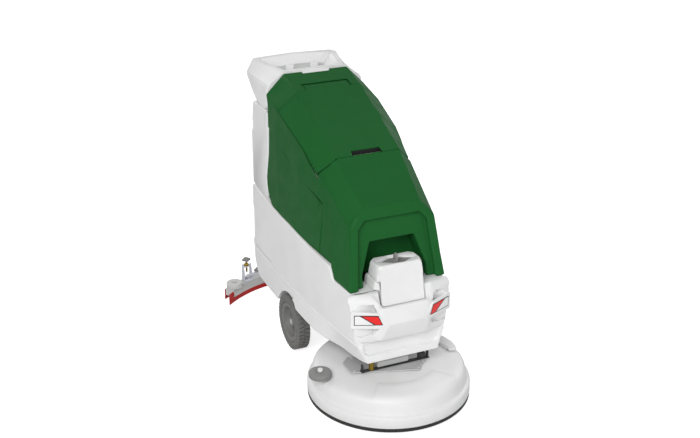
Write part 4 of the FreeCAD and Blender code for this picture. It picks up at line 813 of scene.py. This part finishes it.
def soft_step(value, start, end):
    """Nought before start, one after end, and smooth between them."""
    t = max(0.0, min(1.0, (value - start) / (end - start)))
    return t * t * (3 - 2 * t)


def guard_lift(radius, turn_deg, x, y):
    """How far the guard's skin is moved up at one place."""
    off_front = abs((turn_deg + 90 + 180) % 360 - 180)
    sector = (soft_step(radius, 162, 168) * (1 - soft_step(radius, 246, 262))
              * (1 - soft_step(off_front, 36.8, 38.6)))
    wheel_dip = 1 - soft_step(math.hypot(x + 262, y + 12), 46, 52)
    lever_dip = 1 - soft_step(math.hypot(x - 236, y + 18), 20, 32)
    return 3.6 * sector - 2.2 * wheel_dip - 4.5 * lever_dip * (1 - soft_step(radius, 262, 270))


guard_rings = []
for radius, z in dome_outline:
    outer_skin = z > 57.5 or radius > 279
    ring = []
    for spoke in range(288):
        turn_deg = spoke * 1.25
        x, y = radius * math.cos(math.radians(turn_deg)), radius * math.sin(math.radians(turn_deg))
        on_top = outer_skin and radius > 34 and z > 86 and (radius, z) not in dome_outline[-4:]
        ring.append(at(x, y, z + (guard_lift(radius, turn_deg, x, y) if on_top else 0)))
    guard_rings.append(ring)
guard = skin("guard", guard_rings + [guard_rings[0]], caps=False)
guard_work = bmesh.new()
guard_work.from_mesh(guard)
bmesh.ops.remove_doubles(guard_work, verts=guard_work.verts, dist=0.00001)
bmesh.ops.recalc_face_normals(guard_work, faces=guard_work.faces)
for face in guard_work.faces:
    face.smooth = True
guard_work.to_mesh(guard)
guard_work.free()
guard.set_sharp_from_angle(angle=math.radians(40))
add_piece("splash_guard", guard, "deck", "white_plastic", "deck_cover")
round_solid("deck_lever", 0.003, "release_lever")
print("guard faces", len(guard.polygons))


# %% [markdown]
# ## What repeats: tread, bristles and bolts
# A tyre has eighty-four tread blocks and a brush has over a thousand tufts. Nobody places them by hand: a
# node tree puts copies on computed points. Each tree has named sizes, and each result becomes a plain
# mesh, because only plain meshes are carried over to other programs.

# %% Helpers for node trees
def new_tree(name, sizes):
    """An empty geometry tree with its named inputs, and its two end nodes."""
    tree = bpy.data.node_groups.new(name, "GeometryNodeTree")
    tree.interface.new_socket("Geometry", in_out="INPUT", socket_type="NodeSocketGeometry")
    for label, kind in sizes:
        tree.interface.new_socket(label, in_out="INPUT", socket_type="NodeSocket" + kind)
    tree.interface.new_socket("Geometry", in_out="OUTPUT", socket_type="NodeSocketGeometry")
    return tree, tree.nodes.new("NodeGroupInput").outputs, tree.nodes.new("NodeGroupOutput")


def maths(tree, operation, first, second=0.0):
    """One arithmetic node; gives its result."""
    return chain(tree, "ShaderNodeMath", {0: first, 1: second}, operation=operation).outputs[0]


def close_tree(tree, copies, sizes, end):
    """Makes the copies real, gives them their finish and ends the tree."""
    real = chain(tree, "GeometryNodeRealizeInstances", {"Geometry": copies})
    done = chain(tree, "GeometryNodeSetMaterial", {"Geometry": real.outputs[0], "Material": sizes["Finish"]})
    tree.links.new(done.outputs[0], end.inputs[0])
    return tree


def grow(tree, values, points=()):
    """Runs a tree on a few points and gives back a plain mesh."""
    seed = bpy.data.meshes.new("seed")
    seed.from_pydata([tuple(p) for p in points] or [(0, 0, 0)], [], [])
    host = bpy.data.objects.new("host", seed)
    bpy.context.scene.collection.objects.link(host)
    run = host.modifiers.new("run", "NODES")
    run.node_group = tree
    for socket in tree.interface.items_tree:
        if socket.in_out == "INPUT" and socket.name in values:
            run[socket.identifier] = values[socket.name]
    mesh = bpy.data.meshes.new_from_object(host.evaluated_get(bpy.context.evaluated_depsgraph_get()))
    bpy.data.objects.remove(host)
    mesh.materials.clear()
    mesh.materials.append(values["Finish"])
    return mesh


def joined(name, meshes):
    """One mesh from several."""
    work = bmesh.new()
    for mesh in meshes:
        work.from_mesh(mesh)
    for face in work.faces:
        face.material_index = 0
    whole_mesh = bpy.data.meshes.new(name)
    work.to_mesh(whole_mesh)
    work.free()
    return whole_mesh


# %% A tree for tread blocks round a tyre
tread_tree, size, tree_end = new_tree("tread_blocks", [
    ("Count", "Int"), ("Radius", "Float"), ("Across", "Float"), ("Phase", "Float"), ("Block", "Vector"),
    ("Slant", "Float"), ("Centre", "Vector"), ("Finish", "Material"),
])
index = tread_tree.nodes.new("GeometryNodeInputIndex").outputs[0]
step_angle = maths(tread_tree, "DIVIDE", math.tau, size["Count"])
angle = maths(tread_tree, "MULTIPLY", maths(tread_tree, "ADD", index, size["Phase"]), step_angle)
spot = chain(tread_tree, "ShaderNodeCombineXYZ", {
    "X": size["Across"], "Y": maths(tread_tree, "MULTIPLY", maths(tread_tree, "COSINE", angle),
                                    size["Radius"]),
    "Z": maths(tread_tree, "MULTIPLY", maths(tread_tree, "SINE", angle), size["Radius"]),
})
upright = chain(tread_tree, "ShaderNodeCombineXYZ", {"X": maths(tread_tree, "SUBTRACT", angle, math.pi / 2)})
dots = chain(tread_tree, "GeometryNodePoints", {"Count": size["Count"], "Position": spot.outputs[0]})
block = chain(tread_tree, "GeometryNodeMeshCube", {"Size": size["Block"]})
blocks = chain(tread_tree, "GeometryNodeInstanceOnPoints", {
    "Points": dots.outputs[0], "Instance": block.outputs["Mesh"], "Rotation": upright.outputs[0],
})
slanted = chain(tread_tree, "GeometryNodeRotateInstances", {"Instances": blocks.outputs[0]})
tread_tree.links.new(
    chain(tread_tree, "ShaderNodeCombineXYZ", {"Z": size["Slant"]}).outputs[0], slanted.inputs["Rotation"]
)
moved = chain(tread_tree, "GeometryNodeTransform",
              {"Geometry": slanted.outputs[0], "Translation": size["Centre"]})
close_tree(tread_tree, moved.outputs[0], size, tree_end)

# %% [markdown]
# ## The wheels
# The tyre is turned from its outline, a little low under the tread, and two rows of slanted blocks bring
# it to full size. The hub is a deep dish with a boss in its middle, and a rim ring round it.


# %% Turn the wheels
def turned(outline, centre, axis="x", sides=96, smooth_from=35):
    """A shape turned round an axis from (distance, place along the axis) points, in millimetres."""
    rings = []
    for radius, along in outline:
        ring = []
        for side in range(sides):
            a = math.tau * side / sides
            u, v = radius / 1000 * math.cos(a), radius / 1000 * math.sin(a)
            offset = Vector((along / 1000, u, v)) if axis == "x" else Vector((u, v, along / 1000))
            ring.append(centre + offset)
        rings.append(ring)
    mesh = skin("turned", rings + [rings[0]], caps=False)
    work = bmesh.new()
    work.from_mesh(mesh)
    bmesh.ops.remove_doubles(work, verts=work.verts, dist=0.00001)
    bmesh.ops.recalc_face_normals(work, faces=work.faces)
    for face in work.faces:
        face.smooth = True
    work.to_mesh(mesh)
    work.free()
    mesh.set_sharp_from_angle(angle=math.radians(smooth_from))
    return mesh


for side, label in ((-1, "left"), (1, "right")):
    tyre_low, tyre_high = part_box(f"tyre_{label}")
    hub = (tyre_low + tyre_high) / 2
    half = (tyre_high.x - tyre_low.x) * 500
    full = (tyre_high.z - tyre_low.z) * 500
    carcass = turned([
        (75, -half + 3), (80, -half + 0.6), (88, -half), (93, -half + 1), (98, -half + 4), (100.6, -half + 9),
        (101, -half + 14), (101, half - 14), (100.6, half - 9), (98, half - 4), (93, half - 1), (88, half),
        (80, half - 0.6), (75, half - 3),
    ], hub)
    rows = [
        grow(tread_tree, {
            "Count": 42, "Radius": (full - 3.35) / 1000, "Across": across / 1000, "Phase": phase,
            "Block": (0.0195, 0.0108, 0.0066), "Slant": math.radians(slant), "Centre": hub,
            "Finish": finishes["tyre_rubber"],
        }) for across, phase, slant in ((-11.2, 0, 7), (11.2, 0.5, -7))
    ]
    tyre = joined(f"tyre_{label}_tread", [carcass] + rows)
    add_piece(f"tyre_{label}_tread", tyre, f"wheel_{label}", "tyre_rubber", f"tyre_{label}")
    out = side
    dish = turned([
        (10.2, out * (half - 13)), (17, out * (half - 12)), (20, out * (half - 14)), (22, out * (half - 20)),
        (24, out * (half - 24)), (30, out * (half - 26)), (44, out * (half - 27)), (52, out * (half - 25)),
        (56, out * (half - 18)), (57.5, out * (half - 7)), (60, out * (half - 4.5)), (66, out * (half - 3.4)),
        (73.6, out * (half - 4)), (73.6, out * -(half - 5)), (66, out * -(half - 5)),
        (60, out * -(half - 20)),
        (24, out * -(half - 24)), (20, out * -(half - 14)), (10.2, out * -(half - 14)),
    ], hub)
    rim = add_piece(f"rim_{label}_dish", dish, f"wheel_{label}", "hub_plastic", f"rim_{label}")
    print(label, "wheel", len(tyre.polygons), "faces")

# %% [markdown]
# ## The brush
# Nylon tufts stand in rows on the brush block. A spiral with the golden angle spreads any number of them
# evenly over a ring. Each tuft leans a little in its own direction, from a fixed seed.

# %% Plant the bristles
tuft_tree, size, tree_end = new_tree("tufts", [
    ("Count", "Int"), ("Inner", "Float"), ("Outer", "Float"), ("Length", "Float"), ("Thickness", "Float"),
    ("Lean", "Float"), ("Centre", "Vector"), ("Seed", "Int"), ("Finish", "Material"),
])
index = tuft_tree.nodes.new("GeometryNodeInputIndex").outputs[0]
share = maths(tuft_tree, "DIVIDE", maths(tuft_tree, "ADD", index, 0.5), size["Count"])
inner_area = maths(tuft_tree, "MULTIPLY", size["Inner"], size["Inner"])
outer_area = maths(tuft_tree, "MULTIPLY", size["Outer"], size["Outer"])
spread = maths(tuft_tree, "MULTIPLY", maths(tuft_tree, "SUBTRACT", outer_area, inner_area), share)
distance = maths(tuft_tree, "SQRT", maths(tuft_tree, "ADD", inner_area, spread))
spiral = maths(tuft_tree, "MULTIPLY", index, 2.39996)
spot = chain(tuft_tree, "ShaderNodeCombineXYZ", {
    "X": maths(tuft_tree, "MULTIPLY", distance, maths(tuft_tree, "COSINE", spiral)),
    "Y": maths(tuft_tree, "MULTIPLY", distance, maths(tuft_tree, "SINE", spiral)),
})
dots = chain(tuft_tree, "GeometryNodePoints", {"Count": size["Count"], "Position": spot.outputs[0]})
hair = chain(tuft_tree, "GeometryNodeMeshCone", {
    "Vertices": 6, "Radius Top": maths(tuft_tree, "MULTIPLY", size["Thickness"], 0.35),
    "Radius Bottom": maths(tuft_tree, "MULTIPLY", size["Thickness"], 0.5), "Depth": size["Length"],
})
sway = chain(tuft_tree, "FunctionNodeRandomValue", {"Seed": size["Seed"]}, data_type="FLOAT_VECTOR")
sway.inputs["Min"].default_value = (-1, -1, 0)
sway.inputs["Max"].default_value = (1, 1, 3)
leaned = chain(tuft_tree, "ShaderNodeVectorMath", {0: sway.outputs["Value"], "Scale": size["Lean"]},
               operation="SCALE")
tufts = chain(tuft_tree, "GeometryNodeInstanceOnPoints", {
    "Points": dots.outputs[0], "Instance": hair.outputs["Mesh"], "Rotation": leaned.outputs[0],
})
moved = chain(tuft_tree, "GeometryNodeTransform",
              {"Geometry": tufts.outputs[0], "Translation": size["Centre"]})
close_tree(tuft_tree, moved.outputs[0], size, tree_end)
bristle_low, bristle_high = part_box("brush_bristles")
bristle_length = bristle_high.z - bristle_low.z
bristles = grow(tuft_tree, {
    "Count": 1500, "Inner": 0.107, "Outer": 0.2575, "Length": bristle_length * 0.985, "Thickness": 0.0062,
    "Lean": 0.045, "Centre": Vector((0, brush_middle.y, bristle_low.z + 0.0006)), "Seed": 7,
    "Finish": finishes["bristle"],
})
add_piece("bristle_tufts", bristles, "brush", "bristle", "brush_bristles")
print("bristle faces", len(bristles.polygons))

# %% [markdown]
# ## Bolts
# Steel bolts with a washer hold the deck plate, the tray panel and the squeegee. One tree puts a head
# on every point that it is given.

# %% Put bolt heads on points
bolt_tree, size, tree_end = new_tree("bolt_heads", [
    ("Radius", "Float"), ("Height", "Float"), ("Finish", "Material"),
])
washer = chain(bolt_tree, "GeometryNodeMeshCylinder", {
    "Vertices": 20, "Radius": size["Radius"], "Depth": maths(bolt_tree, "MULTIPLY", size["Height"], 0.5),
})
head = chain(bolt_tree, "GeometryNodeMeshCone", {
    "Vertices": 6, "Radius Top": maths(bolt_tree, "MULTIPLY", size["Radius"], 0.66),
    "Radius Bottom": maths(bolt_tree, "MULTIPLY", size["Radius"], 0.74), "Depth": size["Height"],
})
both = bolt_tree.nodes.new("GeometryNodeJoinGeometry")
bolt_tree.links.new(washer.outputs["Mesh"], both.inputs[0])
bolt_tree.links.new(head.outputs["Mesh"], both.inputs[0])
heads = chain(bolt_tree, "GeometryNodeInstanceOnPoints",
              {"Points": size["Geometry"], "Instance": both.outputs[0]})
close_tree(bolt_tree, heads.outputs[0], size, tree_end)


def bolts(name, body, places, radius, height, slot="steel"):
    """Bolt heads of one size at drawn places, as one piece."""
    mesh = grow(bolt_tree, {"Radius": radius / 1000, "Height": height / 1000, "Finish": finishes[slot]},
                [at(*place) for place in places])
    return add_piece(name, mesh, body, slot)


plate_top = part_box("deck_plate")[1].z * 1000
panel_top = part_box("control_panel")[1].z * 1000
bar_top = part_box("squeegee_body")[1].z * 1000
bolts("deck_plate_bolts", "deck", [(x, y, plate_top + 0.5) for x, y in
                                   ((-122, 40), (-148, -40), (60, -112), (100, -22), (95, -78))], 5.5, 3)
bolts("tray_screws", "tank", [
    (x, y, panel_top + 0.3) for x, y in ((-82, 686), (82, 686), (-74, 816), (74, 816))
], 3.6, 1.6)
bolts("squeegee_nuts", "squeegee", [
    (474 * math.sin(a), 496 + 474 * math.cos(a), bar_top + 0.4) for a in (-0.5, -0.22, 0.22, 0.5)
], 5, 3)

# %% [markdown]
# ## Small parts
# Knobs, brackets, rollers and plates keep their drawn shapes, and only their edges are broken, as a press
# or a moulding tool leaves them. The guide wheel gets a turned groove, and a striped collar sits on each
# height screw, so that its setting can be read.

# %% Break the edges of the small parts
small_parts = {
    "squeegee_body": 0.003, "end_roller_left": 0.0025, "end_roller_right": 0.0025, "height_knob_left": 0.002,
    "height_knob_right": 0.002, "clamp_knob_left": 0.002, "clamp_knob_right": 0.002,
    "squeegee_bracket_left": 0.001,
    "squeegee_bracket_right": 0.001, "squeegee_yoke": 0.0015, "squeegee_arm": 0.0015, "brush_motor": 0.003,
    "deck_plate": 0.001, "deck_lugs": 0.001, "deck_brackets": 0.001, "release_post": 0.0015,
    "lift_arm": 0.001,
    "lift_link": 0.001, "caster_wheel_left": 0.002, "caster_wheel_right": 0.002, "caster_fork_left": 0.001,
    "caster_fork_right": 0.001, "suction_spigot": 0.0015, "guide_spindle": 0.0015, "brush_block": 0.002,
    "chassis_frame": 0.001, "tank_hinge_lower": 0.001, "tank_hinge_upper": 0.001, "roller_bolts": 0.001,
    "batteries": 0.003,
}
for node, radius in small_parts.items():
    round_solid(node, radius, node + "_piece")

wheel_low, wheel_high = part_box("guide_wheel")
guide_middle = (wheel_low + wheel_high) / 2
reach = (wheel_high.x - wheel_low.x) * 500
rise = (wheel_high.z - wheel_low.z) * 500
guide = turned([
    (6.2, -rise + 1), (reach - 6, -rise), (reach - 2, -rise + 1.2), (reach, -rise + 4), (reach, -2.4),
    (reach - 1.6, -1.4),
    (reach - 1.6, 1.4), (reach, 2.4), (reach, rise - 4), (reach - 2, rise - 1.2), (reach - 6, rise),
    (14, rise),
    (12.5, rise - 1.5), (6.2, rise - 1.5),
], guide_middle, axis="z", sides=72)
add_piece("guide_wheel_turned", guide, "guide_wheel", "grey_plastic", "guide_wheel")
screw_low, screw_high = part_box("height_screws")
for side, label in ((-1, "left"), (1, "right")):
    centre = Vector((side * (screw_high.x - 0.004), (screw_low.y + screw_high.y) / 2, 0.1165))
    collar_outline = [(4.1, -4), (9, -4), (9.8, -3.2), (9.8, 3.2), (9, 4), (4.1, 4)]
    collar = turned(collar_outline, centre, axis="z", sides=40)
    add_piece(f"height_collar_{label}", collar, "squeegee", "collar_stripes")
    band = turned([(9, -1.4), (10, -1.4), (10, 1.4), (9, 1.4)], centre, axis="z", sides=40)
    add_piece(f"collar_band_{label}", band, "squeegee", "black_plastic")

# %% [markdown]
# ## The blades
# Two red rubber blades trail behind the machine on one arc. The front blade shows only its lower edge,
# below a pale strip that clamps it, and stands at full height at its tips, past the ends of that strip.
# Blade and strip both follow the arc, so one rule draws them. The rear blade keeps its solid.


# %% Bend the front blade and its clamp
arc_middle, blade_radius, blade_thickness = 496, 450, 3.5


def arc_strip(name, inner, outer, low, levels, slot, radius, *nodes):
    """A strip along the squeegee's arc; levels gives the height of its top at each angle."""
    rings = []
    for degrees, high in levels:
        a = math.radians(degrees)
        rings.append([
            at(r * math.sin(a), arc_middle + r * math.cos(a), z)
            for r, z in ((inner, low), (outer, low), (outer, high), (inner, high))
        ])
    return round_over(skin(name, rings), name, radius, "squeegee", slot, *nodes, sharp=50)


body_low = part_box("squeegee_body")[0]
blade_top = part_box("front_blade")[1].z * 1000
strip_low = body_low.z * 1000 + 0.5
middle_angles = [(-37.3 + 74.6 * step / 32, strip_low) for step in range(33)]
tips = [(41.6, blade_top), (37.6, blade_top)]
blade_levels = [(-d, z) for d, z in tips] + middle_angles + tips[::-1]
arc_strip("front_blade_rubber", blade_radius, blade_radius + blade_thickness, 0.3, blade_levels,
          "red_rubber", 0.0004,
          "front_blade")
clamp_levels = [(-36.9 + 73.8 * step / 32, blade_top) for step in range(33)]
arc_strip("blade_clamp", blade_radius + 0.2, blade_radius + blade_thickness + 0.2, strip_low + 0.3,
          clamp_levels,
          "pale_plastic", 0.0008)

# %% [markdown]
# ## What keeps its drawn shape
# Pins, screws and inner plates already look as they should. Their solids stay, and only take the finish
# that their record names.

# %% Give the kept solids their finish
shown = [node for node in frame["nodes"].values() if not node.hide_render]
for node in shown:
    node.data.materials.clear()
    node.data.materials.append(finishes[slot_of[node.name]])
print("solids kept as they are:", len(shown))
